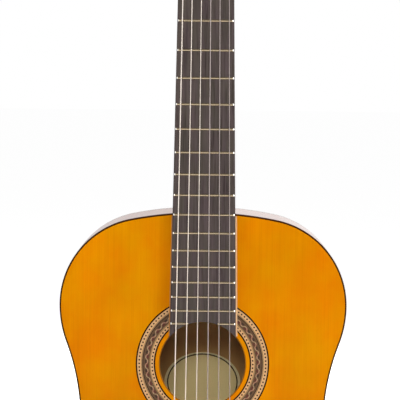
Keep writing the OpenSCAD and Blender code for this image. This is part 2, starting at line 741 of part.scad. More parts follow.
module guitar_string(k) {
    d = string_d[k - 1];
    tie_in = tie_point(k, tie_front + 0.4);
    tie_out = tie_point(k, saddle_z - bridge_rear - 0.6);
    top_back = [saddle_x(k), -tie_h - d / 2 - 0.1, saddle_z - bridge_rear - 0.4];
    top_front = [saddle_x(k) + 2, -tie_h - d / 2 - 0.1, tie_front + 0.4];
    loop_back = [saddle_x(k), -6, saddle_z - bridge_rear - d / 2 - 0.5];
    path = [top_front, top_back, loop_back, tie_out, tie_in, saddle_point(k) + [0, 0.05, -1.2],
        saddle_point(k), nut_point(k), nut_back_point(k), roller_point(k)];
    cord(path, d);
}
module treble_strings() color("#d9d9d2") for (k = [1:3]) guitar_string(k);
module bass_strings() color("#cfc6a8") for (k = [4:6]) guitar_string(k);

// Tuning machines: plate, lugs, worm, gear, roller and button, all placed from the gear mesh
gear_pitch = PI * gear_d / gear_teeth;
addendum = 0.2 * gear_pitch;
dedendum = 0.28 * gear_pitch;
mesh_play = 0.1 * gear_pitch;
worm_tip_r = worm_d / 2 + addendum;
worm_root_r = worm_d / 2 - dedendum;
plate_x = head_half + 0.1;
worm_x = plate_x + plate_t + worm_tip_r + 0.45;
worm_at = gear_d / 2 + worm_d / 2;
gear_x0 = worm_x - gear_t / 2;
gear_x1 = worm_x + gear_t / 2;
lug_gap = plate_w / 2 - lug_t;
lug_r = 3.4;
plate_low = screw_rows[0] - 5;
plate_high = screw_rows[3] + 5;
module plate(side) color("#c8a860") in_head() mirror([side, 0, 0]) translate([0, roller_y, 0]) difference() {
    union() {
        across(plate_x, plate_x + plate_t) difference() {
            translate([-plate_w / 2, plate_low]) square([plate_w, plate_high - plate_low]);
            for (y = [-1, 1]) for (z = screw_rows)
                translate([y * (plate_w / 2 + 3), z]) circle(d = 9);
            for (k = [1:3]) translate([0, roller_z(k)]) circle(d = core_d + core_play);
            for (z = screw_rows) translate([0, z]) circle(d = screw_d + 0.3);
        }
        for (k = [1:3]) for (y = [-plate_w / 2, plate_w / 2 - lug_t]) slab(y, y + lug_t) difference() {
            union() {
                box_plan(plate_x + 0.2, worm_x, roller_z(k) + worm_at - lug_r, roller_z(k) + worm_at + lug_r);
                translate([worm_x, roller_z(k) + worm_at]) circle(r = lug_r);
            }
            translate([worm_x, roller_z(k) + worm_at]) circle(d = journal_d + journal_play);
        }
    }
}
module bass_plate() plate(1);
module treble_plate() plate(0);
module plate_screws() color("#b8a070") in_head() for (side = [0, 1]) mirror([side, 0, 0])
    for (z = screw_rows) translate([0, roller_y, z]) {
        translate([plate_x + plate_t + glue, 0, 0]) rotate([0, 90, 0]) rotate_extrude()
            polygon([[0, -screw_len], [screw_d / 2 - 0.5, -screw_len], [screw_d / 2, 1 - screw_len],
                [screw_d / 2, 0], [screw_head_d / 2, 0], [screw_head_d / 2, 0.7],
                [screw_head_d / 2 - 0.5, 1.2], [screw_head_d / 2 - 1.2, 1.5], [0, 1.6]]);
    }

// Roller with its core, and the turns of string next to the free length
wound_turns = 4;
bore_in = 5;
string_hole_d = 2;
function wind_step(k) = (machine_row(k) == 2 ? 1 : -1) * (string_d[k - 1] + 0.1);
module string_hole(k) translate([abs(roller_x(k)) + wind_step(k) * (wound_turns + 2), 0, 0]) rotate([90, 0, 0])
    cylinder(h = roller_d + 2, d = string_hole_d, center = true);
module roller(k) at_roller(k) color("#ece7da") {
    difference() {
        rod_x(roller_in, head_half - 0.5, roller_d);
        rod_x(bore_in, head_half + 1, core_d + 2 * glue);
        string_hole(k);
    }
    difference() {
        rod_x(bore_in + 0.2, gear_x1 - 0.1, core_d);
        string_hole(k);
    }
    for (i = [1:wound_turns]) translate([abs(roller_x(k)) + wind_step(k) * i, 0, 0]) rotate([0, 90, 0])
        rotate_extrude() translate([roller_d / 2 + string_d[k - 1] / 2 + 0.02, 0])
            circle(d = string_d[k - 1], $fn = 16);
}
// Involute flank of a gear tooth at radius r, as an angle from the tooth centre
pressure = 20;
base_r = gear_d / 2 * cos(pressure);
function involute(r) = r < base_r ? 0 : sqrt(r * r / (base_r * base_r) - 1) * 180 / PI - acos(base_r / r);
tooth_half = 90 / gear_teeth - mesh_play * 90 / (PI * gear_d / 2);
function flank(r) = tooth_half + involute(gear_d / 2) - involute(r);
gear_tip_r = gear_d / 2 + addendum;
gear_root_r = gear_d / 2 - dedendum;
flank_radii = [gear_root_r, base_r, gear_d / 2, (gear_d / 2 + gear_tip_r) / 2, gear_tip_r];
function tooth(t) = let (mid = 90 + 360 * (t + 0.5) / gear_teeth) concat(
    [for (r = flank_radii) [r * cos(mid - flank(r)), r * sin(mid - flank(r))]],
    [for (i = [4:-1:0]) let (r = flank_radii[i]) [r * cos(mid + flank(r)), r * sin(mid + flank(r))]]);
module gear(k) at_roller(k) color("#caa24a") {
    across(gear_x0, gear_x1) difference() {
        polygon([for (t = [0:gear_teeth - 1]) each tooth(t)]);
        circle(d = core_d + 2 * glue);
    }
    rod_x(gear_x1 + glue, gear_x1 + 1.2, core_d + 1.4);
}
// Helical thread: a trapezoid carried round the worm axis, with one start
thread_turns = 3.4;
thread_steps = 16;
thread_half = gear_pitch / 4 - mesh_play / 2;
slope = tan(pressure);
function thread_ring(a) =
    let (y = gear_pitch * a / 360, c = [cos(a), sin(a)], r0 = worm_root_r - 0.25, r1 = worm_tip_r)
    let (w0 = thread_half + slope * (worm_d / 2 - r0), w1 = thread_half - slope * addendum)
    [for (p = [[r0, w0], [r1, w1], [r1, -w1], [r0, -w0]]) [p[0] * c[0], p[0] * c[1], y + p[1]]];
thread_list = [for (i = [-thread_steps * thread_turns / 2:thread_steps * thread_turns / 2])
    thread_ring(360 * i / thread_steps)];
// In the worm's frame z is the worm axis and the gear lies on the side of angle zero
module at_worm(k) at_roller(k) translate([worm_x, 0, worm_at]) rotate([-90, 0, 0]) rotate([0, 0, 90])
    children();
worm_half = lug_gap - 0.4;
button_start = head_t / 2 + 3.6;
module worm(k) at_worm(k) color("#b9a36a") {
    cylinder(h = 2 * worm_half, r = worm_root_r, center = true);
    polyhedron([for (r = thread_list) each r], loft_faces(len(thread_list), 4));
    translate([0, 0, -plate_w / 2 - 0.6]) cylinder(h = plate_w / 2 + button_start + 7, d = journal_d);
    translate([0, 0, plate_w / 2 + 0.3]) cylinder(h = button_start - plate_w / 2 - 0.4, d = journal_d + 2);
}
// Button: an oval with crowned faces on the end of the worm shaft
crown_face_r = 14;
module button(k) at_worm(k) color("#f2ede0") difference() {
    union() {
        intersection() {
            rotate([90, 0, 0]) linear_extrude(button_t, center = true) {
                translate([0, button_start + 1.4 + button_h / 2])
                    square([button_w - button_h, button_h], center = true);
                for (x = [-1, 1]) translate([x * (button_w - button_h) / 2, button_start + 1.4 + button_h / 2])
                    circle(d = button_h);
            }
            translate([0, button_t / 2 - crown_face_r, 0]) cylinder(h = 60, r = crown_face_r);
            translate([0, crown_face_r - button_t / 2, 0]) cylinder(h = 60, r = crown_face_r);
        }
        translate([0, 0, button_start]) cylinder(h = 4, d = journal_d + 2.4);
    }
    translate([0, 0, button_start - 1]) cylinder(h = 8.2, d = journal_d + 2 * glue);
}
module roller_1() roller(1);
module gear_1() gear(1);
module worm_1() worm(1);
module button_1() button(1);
module roller_2() roller(2);
module gear_2() gear(2);
module worm_2() worm(2);
module button_2() button(2);
module roller_3() roller(3);
module gear_3() gear(3);
module worm_3() worm(3);
module button_3() button(3);
module roller_4() roller(4);
module gear_4() gear(4);
module worm_4() worm(4);
module button_4() button(4);
module roller_5() roller(5);
module gear_5() gear(5);
module worm_5() worm(5);
module button_5() button(5);
module roller_6() roller(6);
module gear_6() gear(6);
module worm_6() worm(6);
module button_6() button(6);

soundboard();
rosette_lines();
rosette_dotted();
rosette_mosaic();
back_plate();
bass_side();
treble_side();
top_binding();
back_binding();
top_linings();
back_linings();
end_block();
harmonic_bars();
fan_braces();
back_braces();
label();
neck();
heel_cap();
headstock();
head_veneer();
fretboard();
frets();
nut();
bridge();
tie_trim();
saddle();
bass_plate();
treble_plate();
plate_screws();
bass_strings();
treble_strings();
roller_1();
gear_1();
worm_1();
button_1();
roller_2();
gear_2();
worm_2();
button_2();
roller_3();
gear_3();
worm_3();
button_3();
roller_4();
gear_4();
worm_4();
button_4();
roller_5();
gear_5();
worm_5();
button_5();
roller_6();
gear_6();
worm_6();
button_6();
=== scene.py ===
# %% [markdown]
# # A classical guitar, piece by piece
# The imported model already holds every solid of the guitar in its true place. This lesson gives
# those solids the surfaces of the real instrument: lacquered spruce, rosewood, bone, brass,
# nylon and wound wire. It works in millimetres, as a guitar maker does, and turns them into
# Blender's metres only where a mesh is made.

# %% Load the frame
import math
from contextlib import contextmanager
import bmesh
import bpy
from mathutils import Matrix, Vector
from mathutils.geometry import tessellate_polygon


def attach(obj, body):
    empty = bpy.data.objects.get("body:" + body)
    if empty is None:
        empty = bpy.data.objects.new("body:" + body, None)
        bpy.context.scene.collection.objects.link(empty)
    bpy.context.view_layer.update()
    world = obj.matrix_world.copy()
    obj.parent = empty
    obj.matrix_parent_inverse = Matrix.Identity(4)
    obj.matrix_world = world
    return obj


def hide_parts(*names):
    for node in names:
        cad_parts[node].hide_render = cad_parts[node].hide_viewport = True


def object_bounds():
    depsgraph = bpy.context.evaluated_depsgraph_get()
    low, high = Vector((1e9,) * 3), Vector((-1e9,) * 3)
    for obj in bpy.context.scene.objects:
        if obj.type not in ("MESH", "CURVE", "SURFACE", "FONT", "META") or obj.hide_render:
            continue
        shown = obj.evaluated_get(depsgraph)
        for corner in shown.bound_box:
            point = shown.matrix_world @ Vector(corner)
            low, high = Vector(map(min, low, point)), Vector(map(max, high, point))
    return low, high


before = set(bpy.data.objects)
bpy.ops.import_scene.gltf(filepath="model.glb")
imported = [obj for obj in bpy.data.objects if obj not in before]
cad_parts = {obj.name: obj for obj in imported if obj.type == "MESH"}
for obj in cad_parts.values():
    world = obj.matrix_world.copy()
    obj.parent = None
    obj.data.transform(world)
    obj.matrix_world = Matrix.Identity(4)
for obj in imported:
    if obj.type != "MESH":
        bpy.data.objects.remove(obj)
cad_low, cad_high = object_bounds()
scene = bpy.context.scene
scene.view_settings.view_transform = "Standard"
MM = 0.001
print("CAD box in mm:", [round(c / MM, 1) for c in (*cad_low, *cad_high)])

# %% [markdown]
# ## Camera
# The frets are a ruler that is built into the neck: their spacing shrinks by the twelfth root
# of two, so the rows where they appear fix the scale of the picture. A strip of the upper rib
# shows above the shoulders, so the camera stands a little above them and looks down. It is
# far away and uses a long lens, because the frets hardly shrink toward the far end.

# %% Camera
SENSOR_MM, FRAME_PX, FOCAL_PX = 36, 400, 2025.9
CAMERA_AT, YAW, PITCH, ROLL = (0.0021, -2.0, -0.1924), -0.176, -3.387, 0.571


def camera_axes(yaw, pitch, roll):
    """Turn of a camera that looks along +Y at yaw 0, in degrees."""
    yaw, pitch, roll = (math.radians(a) for a in (yaw, pitch, roll))
    level = math.cos(pitch)
    ahead = Vector((math.sin(yaw) * level, math.cos(yaw) * level, math.sin(pitch)))
    right = Vector((math.cos(yaw), -math.sin(yaw), 0))
    up = right.cross(ahead)
    side = right * math.cos(roll) + up * math.sin(roll)
    top = up * math.cos(roll) - right * math.sin(roll)
    return Matrix((side, top, -ahead)).transposed().to_4x4()


camera_data = bpy.data.cameras.new("camera")
camera_data.sensor_width = SENSOR_MM
camera_data.lens = SENSOR_MM * FOCAL_PX / FRAME_PX
camera_data.clip_end = 100
camera = bpy.data.objects.new("camera", camera_data)
scene.collection.objects.link(camera)
camera.matrix_world = Matrix.Translation(CAMERA_AT) @ camera_axes(YAW, PITCH, ROLL)
scene.camera = camera
print("lens in mm:", round(camera_data.lens, 1))

# %% [markdown]
# ## White surroundings
# The photograph is a product shot on pure white. White paper behind a glossy object has two
# jobs: the camera sees it, and varnish and metal mirror it. A wall of white planes could do
# both, but the world needs no geometry. It is white for camera, glossy and transmission rays,
# and almost dark as a light, so that the lamps alone shape the wood. Behind the camera the
# mirrored room is dim, as a studio is, and that keeps the varnish on the top deep.

# %% World
ROOM_DIM, ROOM_BACK, ROOM_FRONT, AMBIENT = 0.12, -0.9, 0.1, 0.02


def add_node(tree, kind, inputs=None, **settings):
    """A new node with its settings and the values of its named inputs."""
    made = tree.nodes.new(kind)
    for key, value in settings.items():
        setattr(made, key, value)
    for key, value in (inputs or {}).items():
        made.inputs[key].default_value = value
    return made


def wire(tree, *pairs):
    """Links each pair of an output and an input."""
    for start, end in pairs:
        tree.links.new(start, end)


def math_node(tree, operation, a, b):
    """One sum: each side is a number or another node's output."""
    made = add_node(tree, "ShaderNodeMath", operation=operation)
    for socket, value in zip(made.inputs, (a, b)):
        if isinstance(value, (int, float)):
            socket.default_value = value
        else:
            tree.links.new(value, socket)
    return made.outputs[0]


def remap(tree, value, old, new):
    """A value that is moved from an old span to a new one."""
    made = add_node(tree, "ShaderNodeMapRange", {"From Min": old[0], "From Max": old[1],
        "To Min": new[0], "To Max": new[1]})
    tree.links.new(value, made.inputs["Value"])
    return made.outputs[0]


world = bpy.data.worlds.new("studio")
scene.world = world
world.use_nodes = True
air = world.node_tree
air.nodes.clear()
rays = add_node(air, "ShaderNodeLightPath").outputs
way = add_node(air, "ShaderNodeTexCoord")
split = add_node(air, "ShaderNodeSeparateXYZ")
paper = add_node(air, "ShaderNodeBackground", {"Strength": 1})
ambient = add_node(air, "ShaderNodeBackground", {"Color": (1, 1, 1, 1), "Strength": AMBIENT})
choose = add_node(air, "ShaderNodeMixShader")
out = add_node(air, "ShaderNodeOutputWorld")
room = remap(air, split.outputs["Y"], (ROOM_BACK, ROOM_FRONT), (ROOM_DIM, 1))
seen = math_node(air, "MAXIMUM", room, rays["Is Camera Ray"])
mirrored = math_node(air, "MAXIMUM", rays["Is Camera Ray"], rays["Is Glossy Ray"])
shown = math_node(air, "MAXIMUM", mirrored, rays["Is Transmission Ray"])
wire(air, (way.outputs["Generated"], split.inputs[0]), (seen, paper.inputs["Color"]),
    (shown, choose.inputs[0]), (ambient.outputs[0], choose.inputs[1]),
    (paper.outputs[0], choose.inputs[2]), (choose.outputs[0], out.inputs[0]))
print("world nodes:", len(air.nodes))

# %% [markdown]
# ## Lamps
# A studio lights a guitar with soft boxes, and an area lamp is one. The tall box on the right
# grazes the top and throws the fretboard's soft shadow to the bass side. The wide one above the
# camera reaches through the soundhole to the label. The others lift the head, the ribs and the
# back. Varnish would show three of them as hard white patches, so those are kept out of mirrored
# rays. The small dim card behind is left in, because the rib on the right mirrors it.

# %% Lamps
UPPER_BODY, MIDDLE, BEHIND = (0, 0, -0.2), (0, 0, -0.3), (0, 0.3, -0.8)


def soft_box(name, place, target, size, power, in_mirrors=True):
    """An area lamp that faces a point, with a width and a height in metres and a power in watts."""
    lamp = bpy.data.lights.new(name, "AREA")
    lamp.shape, lamp.energy = "RECTANGLE", power
    lamp.size, lamp.size_y = size
    holder = bpy.data.objects.new(name, lamp)
    scene.collection.objects.link(holder)
    holder.location = place
    holder.rotation_mode = "QUATERNION"
    holder.rotation_quaternion = (Vector(target) - Vector(place)).to_track_quat("-Z", "Y")
    holder.visible_glossy = in_mirrors


soft_box("key_right", (1.9, -0.95, 0.15), UPPER_BODY, (0.7, 1.4), 24.5)
soft_box("fill_left", (-1.8, -1.2, 0.15), UPPER_BODY, (0.5, 1.4), 5.5)
soft_box("front_fill", (-0.06, -1.5, 0.2), MIDDLE, (0.8, 0.35), 10.9, False)
soft_box("top_soft", (0.1, 0.35, 1.7), BEHIND, (0.9, 0.9), 38, False)
soft_box("back_fill", (0.4, 2.4, 0.7), MIDDLE, (1.4, 1.4), 36, False)
soft_box("rib_card", (0.32, 2.6, -0.27), MIDDLE, (0.5, 0.5), 0.3)

# %% [markdown]
# ## Floor
# The guitar stands on white paper. Lamps fade with distance, so a plain white floor would turn
# grey far from them. A glow that grows with the distance makes up for that. Only the eye and
# the mirrors see the glow, so it lights nothing, and the shadow round the guitar stays.

# %% Floor
FLOOR_GAP, FLOOR_HALF, FLOOR_WHITE = 0.0006, 40, (0.85, 0.85, 0.85, 1)
GLOW_FROM, GLOW_TO, GLOW_LOW, GLOW_HIGH = 0.85, 1.9, 0.34, 0.97


def white_floor():
    """Diffuse white that keeps the shadow, with a glow for the eye."""
    mat = bpy.data.materials.new("floor_white")
    mat.use_nodes = True
    tree = mat.node_tree
    tree.nodes.clear()
    rays = add_node(tree, "ShaderNodeLightPath").outputs
    place = add_node(tree, "ShaderNodeTexCoord")
    far = add_node(tree, "ShaderNodeVectorMath", operation="LENGTH")
    matt = add_node(tree, "ShaderNodeBsdfDiffuse", {"Color": FLOOR_WHITE})
    glow = add_node(tree, "ShaderNodeEmission", {"Color": (1, 1, 1, 1)})
    both = add_node(tree, "ShaderNodeAddShader")
    end = add_node(tree, "ShaderNodeOutputMaterial")
    eyes = math_node(tree, "MAXIMUM", rays["Is Camera Ray"], rays["Is Glossy Ray"])
    level = remap(tree, far.outputs["Value"], (GLOW_FROM, GLOW_TO), (GLOW_LOW, GLOW_HIGH))
    wire(tree, (place.outputs["Object"], far.inputs[0]),
        (math_node(tree, "MULTIPLY", eyes, level), glow.inputs["Strength"]),
        (matt.outputs[0], both.inputs[0]), (glow.outputs[0], both.inputs[1]),
        (both.outputs[0], end.inputs[0]))
    return mat


floor_mesh = bpy.data.meshes.new("floor")
floor_z = cad_low.z - FLOOR_GAP
floor_corners = [(FLOOR_HALF * x, FLOOR_HALF * y, floor_z)
    for x, y in ((-1, -1), (1, -1), (1, 1), (-1, 1))]
floor_mesh.from_pydata(floor_corners, [], [(0, 1, 2, 3)])
floor_mesh.materials.append(white_floor())
floor = bpy.data.objects.new("floor", floor_mesh)
scene.collection.objects.link(floor)
print("floor at", round(floor_z, 4))

# %% [markdown]
# ## Finishes
# A finish starts from a colour that is read on the 0 to 255 scale, and gets the detail
# that the real one shows. A painted image could hold it, but it would have to be wrapped round
# each piece and would blur close up. Nodes stay sharp. Almost every pattern reads Object
# coordinates, which are the guitar's own frame, so the grain runs on from piece to piece.

# %% Colour and node helpers
def tint(red, green, blue):
    """A colour from the 0-255 scale, in the linear values that a shader works in."""
    steps = [c / 255 for c in (red, green, blue)]
    return (*[c / 12.92 if c <= 0.04045 else ((c + 0.055) / 1.055) ** 2.4 for c in steps], 1)


def finish(name, rough, **values):
    """A material, its tree and its shader, with plain values set on the shader's own sockets."""
    mat = bpy.data.materials.new(name)
    mat.use_nodes = True
    shader = mat.node_tree.nodes["Principled BSDF"]
    shader.inputs["Roughness"].default_value = rough
    for key, value in values.items():
        shader.inputs[key.replace("_", " ")].default_value = value
    return mat, mat.node_tree, shader


def ramp(tree, value, stops):
    """A colour ramp: stops are pairs of position and colour."""
    made = add_node(tree, "ShaderNodeValToRGB")
    cells = made.color_ramp.elements
    while len(cells) < len(stops):
        cells.new(0.5)
    for cell, (at, colour) in zip(cells, stops):
        cell.position, cell.color = at, colour
    tree.links.new(value, made.inputs[0])
    return made.outputs["Color"]


def folded(tree):
    """Object coordinates folded on the centre line, so that the left half mirrors the right."""
    place = add_node(tree, "ShaderNodeTexCoord")
    made = add_node(tree, "ShaderNodeVectorMath", operation="ABSOLUTE")
    tree.links.new(place.outputs["Object"], made.inputs[0])
    return made.outputs[0]


def noise(tree, stretch, detail=4, matched=False):
    """Noise on Object coordinates, stretched per axis: the numbers are features per metre."""
    place = folded(tree) if matched else add_node(tree, "ShaderNodeTexCoord").outputs["Object"]
    scale = add_node(tree, "ShaderNodeMapping", {"Scale": stretch})
    made = add_node(tree, "ShaderNodeTexNoise", {"Scale": 1, "Detail": detail, "Roughness": 0.6})
    wire(tree, (place, scale.inputs["Vector"]), (scale.outputs[0], made.inputs["Vector"]))
    return made.outputs["Fac"]


def scaled(tree, colour, factor):
    """A colour made darker or lighter by a factor."""
    made = add_node(tree, "ShaderNodeVectorMath", operation="SCALE")
    wire(tree, (colour, made.inputs[0]), (factor, made.inputs["Scale"]))
    return made.outputs[0]


def shade(tree, colour, value, low, high):
    """A colour made darker or lighter where a value is low or high."""
    return scaled(tree, colour, remap(tree, value, (0.3, 0.7), (low, high)))


def seamed(tree, colour, half_mm, dark):
    """A colour made darker along the centre line, where two halves are glued."""
    across = add_node(tree, "ShaderNodeSeparateXYZ")
    tree.links.new(folded(tree), across.inputs[0])
    span = (half_mm * MM, 1.5 * half_mm * MM)
    return scaled(tree, colour, remap(tree, across.outputs["X"], span, (dark, 1)))


def tinted(tree, colour, value, cool, warm):
    """A colour multiplied by one of two faint casts, chosen by a slow value."""
    cast = ramp(tree, value, [(0.35, cool), (0.65, warm)])
    made = add_node(tree, "ShaderNodeVectorMath", operation="MULTIPLY")
    wire(tree, (colour, made.inputs[0]), (cast, made.inputs[1]))
    return made.outputs[0]


def bump(tree, shader, height, strength, depth_mm):
    """Small relief from a height value."""
    made = add_node(tree, "ShaderNodeBump", {"Strength": strength, "Distance": depth_mm * MM})
    wire(tree, (height, made.inputs["Height"]), (made.outputs[0], shader.inputs["Normal"]))


print("a middle grey of 128 is", round(tint(128, 128, 128)[0], 3), "in linear light")

# %% [markdown]
# ### Woods
# Wood is long fibres, so its noise is stretched along the grain, with slow clouds over it,
# because no board is even. The top has an amber lacquer that gathers here and there, so a faint
# cast of red or yellow lies over its clouds. The back is two boards that are cut from one block
# and opened like a book: its grain is mirrored on the centre line, with a dark line of glue.

# %% Woods
PORE_MM, SEAM_HALF_MM, SEAM_DARK, GLOSS_LOW, GLOSS_HIGH = 0.15, 0.35, 0.4, 0.85, 1.15
CLOSE, WIDE = (0.25, 0.5, 0.75), (0.2, 0.5, 0.8)


def tones(at, *colours):
    """Stops of a ramp, from positions and colours on the 0-255 scale."""
    return [(where, tint(*colour)) for where, colour in zip(at, colours)]


def wood(name, stops, rough, grain, clouds, levels, relief, casts=None, patch=(130, 130, 30),
        matched=False, **values):
    """Fibres along the grain, slow clouds over them, pores as relief, and a varying gloss."""
    mat, tree, shader = finish(name, rough, **values)
    fibre = noise(tree, grain, matched=matched)
    cloud = noise(tree, clouds, 2, matched=matched)
    colour = shade(tree, ramp(tree, fibre, stops), cloud, *levels)
    if matched:
        colour = seamed(tree, colour, SEAM_HALF_MM, SEAM_DARK)
    if casts:
        colour = tinted(tree, colour, noise(tree, patch, 5), *casts)
    gloss = remap(tree, fibre, (0, 1), (rough * GLOSS_LOW, rough * GLOSS_HIGH))
    wire(tree, (colour, shader.inputs["Base Color"]), (gloss, shader.inputs["Roughness"]))
    bump(tree, shader, fibre, relief, PORE_MM)
    return mat


LACQUER = {"Specular_IOR_Level": 0.3, "Coat_Weight": 0.45, "Coat_Roughness": 0.12}
SPRUCE = wood("amber_spruce", tones(CLOSE, (221, 130, 0), (227, 136, 0), (231, 141, 1)),
    rough=0.2, grain=(700, 700, 10), clouds=(14, 14, 9), levels=(0.885, 1.075), relief=0.03,
    casts=((1, 0.86, 1, 1), (1, 1.14, 1, 1)), patch=(22, 22, 16), Specular_IOR_Level=0.03)
BODY_WOOD = wood("red_brown_ribs", tones(WIDE, (92, 44, 24), (122, 62, 34), (140, 78, 46)),
    rough=0.3, grain=(60, 500, 22), clouds=(12, 12, 6), levels=(0.82, 1.1), relief=0.04, **LACQUER)
BACK_WOOD = wood("matched_back", tones(WIDE, (88, 42, 23), (120, 61, 33), (142, 79, 47)),
    rough=0.3, grain=(420, 420, 9), clouds=(42, 42, 5), levels=(0.8, 1.12), relief=0.04,
    matched=True, **LACQUER)
INSIDE_WOOD = wood("bare_inside", tones(WIDE, (190, 146, 92), (206, 160, 102), (216, 172, 114)),
    rough=0.8, grain=(60, 300, 22), clouds=(12, 12, 6), levels=(0.88, 1.08), relief=0.2,
    Specular_IOR_Level=0.1)
NECK_WOOD = wood("neck_mahogany", tones(WIDE, (84, 42, 24), (112, 60, 35), (128, 74, 46)),
    rough=0.3, grain=(420, 420, 16), clouds=(14, 14, 8), levels=(0.85, 1.1), relief=0.08)
ROSEWOOD = wood("rosewood_board",
    tones((0.3, 0.45, 0.72), (56, 47, 44), (78, 69, 66), (90, 80, 76)),
    rough=0.55, grain=(620, 620, 22), clouds=(120, 120, 18), levels=(0.88, 1.1), relief=0.25,
    casts=((1.0, 0.93, 1.02, 1), (0.95, 1.0, 0.9, 1)), Specular_IOR_Level=0.2)
BRIDGE_WOOD = wood("bridge_rosewood", tones(CLOSE, (52, 30, 22), (74, 42, 30), (92, 56, 40)),
    rough=0.42, grain=(14, 520, 520), clouds=(6, 60, 60), levels=(0.85, 1.1), relief=0.2)
VENEER = wood("head_rosewood", tones(CLOSE, (44, 24, 18), (64, 34, 26), (82, 46, 34)),
    rough=0.36, grain=(420, 420, 12), clouds=(40, 40, 6), levels=(0.85, 1.1), relief=0.05,
    Specular_IOR_Level=0.3, Coat_Weight=0.2, Coat_Roughness=0.3)
INNER_WOOD = wood("bare_cedar", tones(CLOSE, (176, 128, 80), (192, 146, 94), (206, 162, 108)),
    rough=0.75, grain=(260, 260, 20), clouds=(20, 20, 8), levels=(0.88, 1.06), relief=0.2)
BINDING = wood("dark_binding", tones(CLOSE, (54, 27, 4), (66, 34, 6), (78, 42, 9)),
    rough=0.25, grain=(300, 300, 60), clouds=(30, 30, 30), levels=(0.9, 1.08), relief=0.03,
    Specular_IOR_Level=0.05)
print("last wood:", BINDING.name, "of", len(bpy.data.materials), "materials")

# %% [markdown]
# ### Bone, metals and plastics
# These have no grain, only a fine fleck: pores in bone, polishing marks on metal, clouds in
# pearl. One helper makes them all, with two tones and a little relief from the same noise.

# %% Bone, metals and plastics
FLECK_MM = 0.05


def flecked(name, dark, light, rough, grain, relief=0.04, **values):
    """A solid material with a fine two-tone fleck."""
    mat, tree, shader = finish(name, rough, **values)
    fleck = noise(tree, (grain, grain, grain), 3)
    colour = ramp(tree, fleck, tones((0.3, 0.7), dark, light))
    tree.links.new(colour, shader.inputs["Base Color"])
    bump(tree, shader, fleck, relief, FLECK_MM)
    return mat


BONE = flecked("bone", (226, 216, 190), (243, 237, 218), 0.35, 260)
FRET_WIRE = flecked("fret_nickel", (172, 155, 127), (195, 177, 147), 0.24, 900, Metallic=1.0)
# A whiter copy of the fret nickel, used on the filed ends as a painted glint.
FRET_END_GLINT = flecked("fret_end_painted_glint", (236, 230, 218), (250, 246, 238), 0.3, 900, Metallic=1.0)
BRASS = flecked("machine_brass", (186, 150, 84), (212, 178, 108), 0.26, 700, Metallic=1.0)
STEEL = flecked("machine_steel", (168, 164, 156), (196, 192, 184), 0.3, 800, Metallic=1.0)
PEARL = flecked("button_pearl", (214, 206, 190), (246, 243, 232), 0.2, 170, 0.02, Coat_Weight=0.5)
NYLON = flecked("clear_nylon", (170, 156, 152), (188, 174, 170), 0.3, 500, 0.02)
LINE_BLACK = flecked("rosette_black", (26, 10, 2), (40, 18, 5), 0.35, 900, Specular_IOR_Level=0.05)
TRIM = flecked("tie_trim_bone", (222, 208, 176), (238, 228, 202), 0.35, 300)
print("finishes so far:", len(bpy.data.materials))

# %% [markdown]
# ## The body's outline
# A guitar's outline is drawn with a compass: eight arcs on each side that touch in line, so
# there is no kink between them. A curve object could trace it too, but an inset line is then
# hard to get. Here it is the same arcs with other radii, and its points pair up with those of
# the outer line. That makes bindings easy: they are a small section carried round between
# paired points. The solids use the same arcs with fewer steps.

# %% Outline arcs
SCALE, NUT_LEN, BOARD_T, GLUE = 650.0, 5.0, 6.0, 0.05
JOINT_RISE, HOLE_DOWN = 2, 151
JOINT_Z = JOINT_RISE - SCALE / 2
HOLE_Z = JOINT_Z - HOLE_DOWN
BODY_LEN, HALF_U, HALF_W, HALF_L = 490.0, 142.5, 121.0, 185.0
UPPER_AT, WAIST_AT, LOWER_AT = 92.5, 211.0, 364.0
SHOULDER_R, TAIL_R, UPPER_R, LOWER_R = 87.0, 115.0, 107.0, 128.0
SHOULDER_DROP, TAIL_RISE, PITCH_MM = 5.5, 11.0, 4.0


def end_radius(half, radius, run, drop):
    """Radius of the flat arc at the neck or the tail that touches a bout's arc."""
    return ((half - radius) ** 2 + run ** 2 - radius ** 2) / (2 * drop)


def cove(half, radius, run):
    """Radius of the waist arc that touches a bout's arc."""
    return ((HALF_W - half + radius) ** 2 + run * run - radius * radius) / (2 * (half - HALF_W))


def touch(centre, radius, other):
    """The point of an arc on the line to another arc's centre."""
    return centre + radius * (other - centre).normalized()


TOP_R = end_radius(HALF_U, SHOULDER_R, UPPER_AT, SHOULDER_DROP)
END_R = end_radius(HALF_L, TAIL_R, BODY_LEN - LOWER_AT, TAIL_RISE)
COVE_U = cove(HALF_U, UPPER_R, WAIST_AT - UPPER_AT)
COVE_L = cove(HALF_L, LOWER_R, LOWER_AT - WAIST_AT)
ARCS = [((0, -TOP_R), TOP_R, 1), ((HALF_U - SHOULDER_R, -UPPER_AT), SHOULDER_R, 1),
    ((HALF_U - UPPER_R, -UPPER_AT), UPPER_R, 1), ((HALF_W + COVE_U, -WAIST_AT), COVE_U, -1),
    ((HALF_W + COVE_L, -WAIST_AT), COVE_L, -1), ((HALF_L - LOWER_R, -LOWER_AT), LOWER_R, 1),
    ((HALF_L - TAIL_R, -LOWER_AT), TAIL_R, 1), ((0, END_R - BODY_LEN), END_R, 1)]
MIDS = [Vector(a[0]) for a in ARCS]
KNOTS = [Vector((0, 0)), touch(MIDS[0], TOP_R, MIDS[1]), Vector((HALF_U, -UPPER_AT)),
    touch(MIDS[2], UPPER_R, MIDS[3]), Vector((HALF_W, -WAIST_AT)),
    touch(MIDS[5], LOWER_R, MIDS[4]), Vector((HALF_L, -LOWER_AT)),
    touch(MIDS[7], END_R, MIDS[6]), Vector((0, -BODY_LEN))]


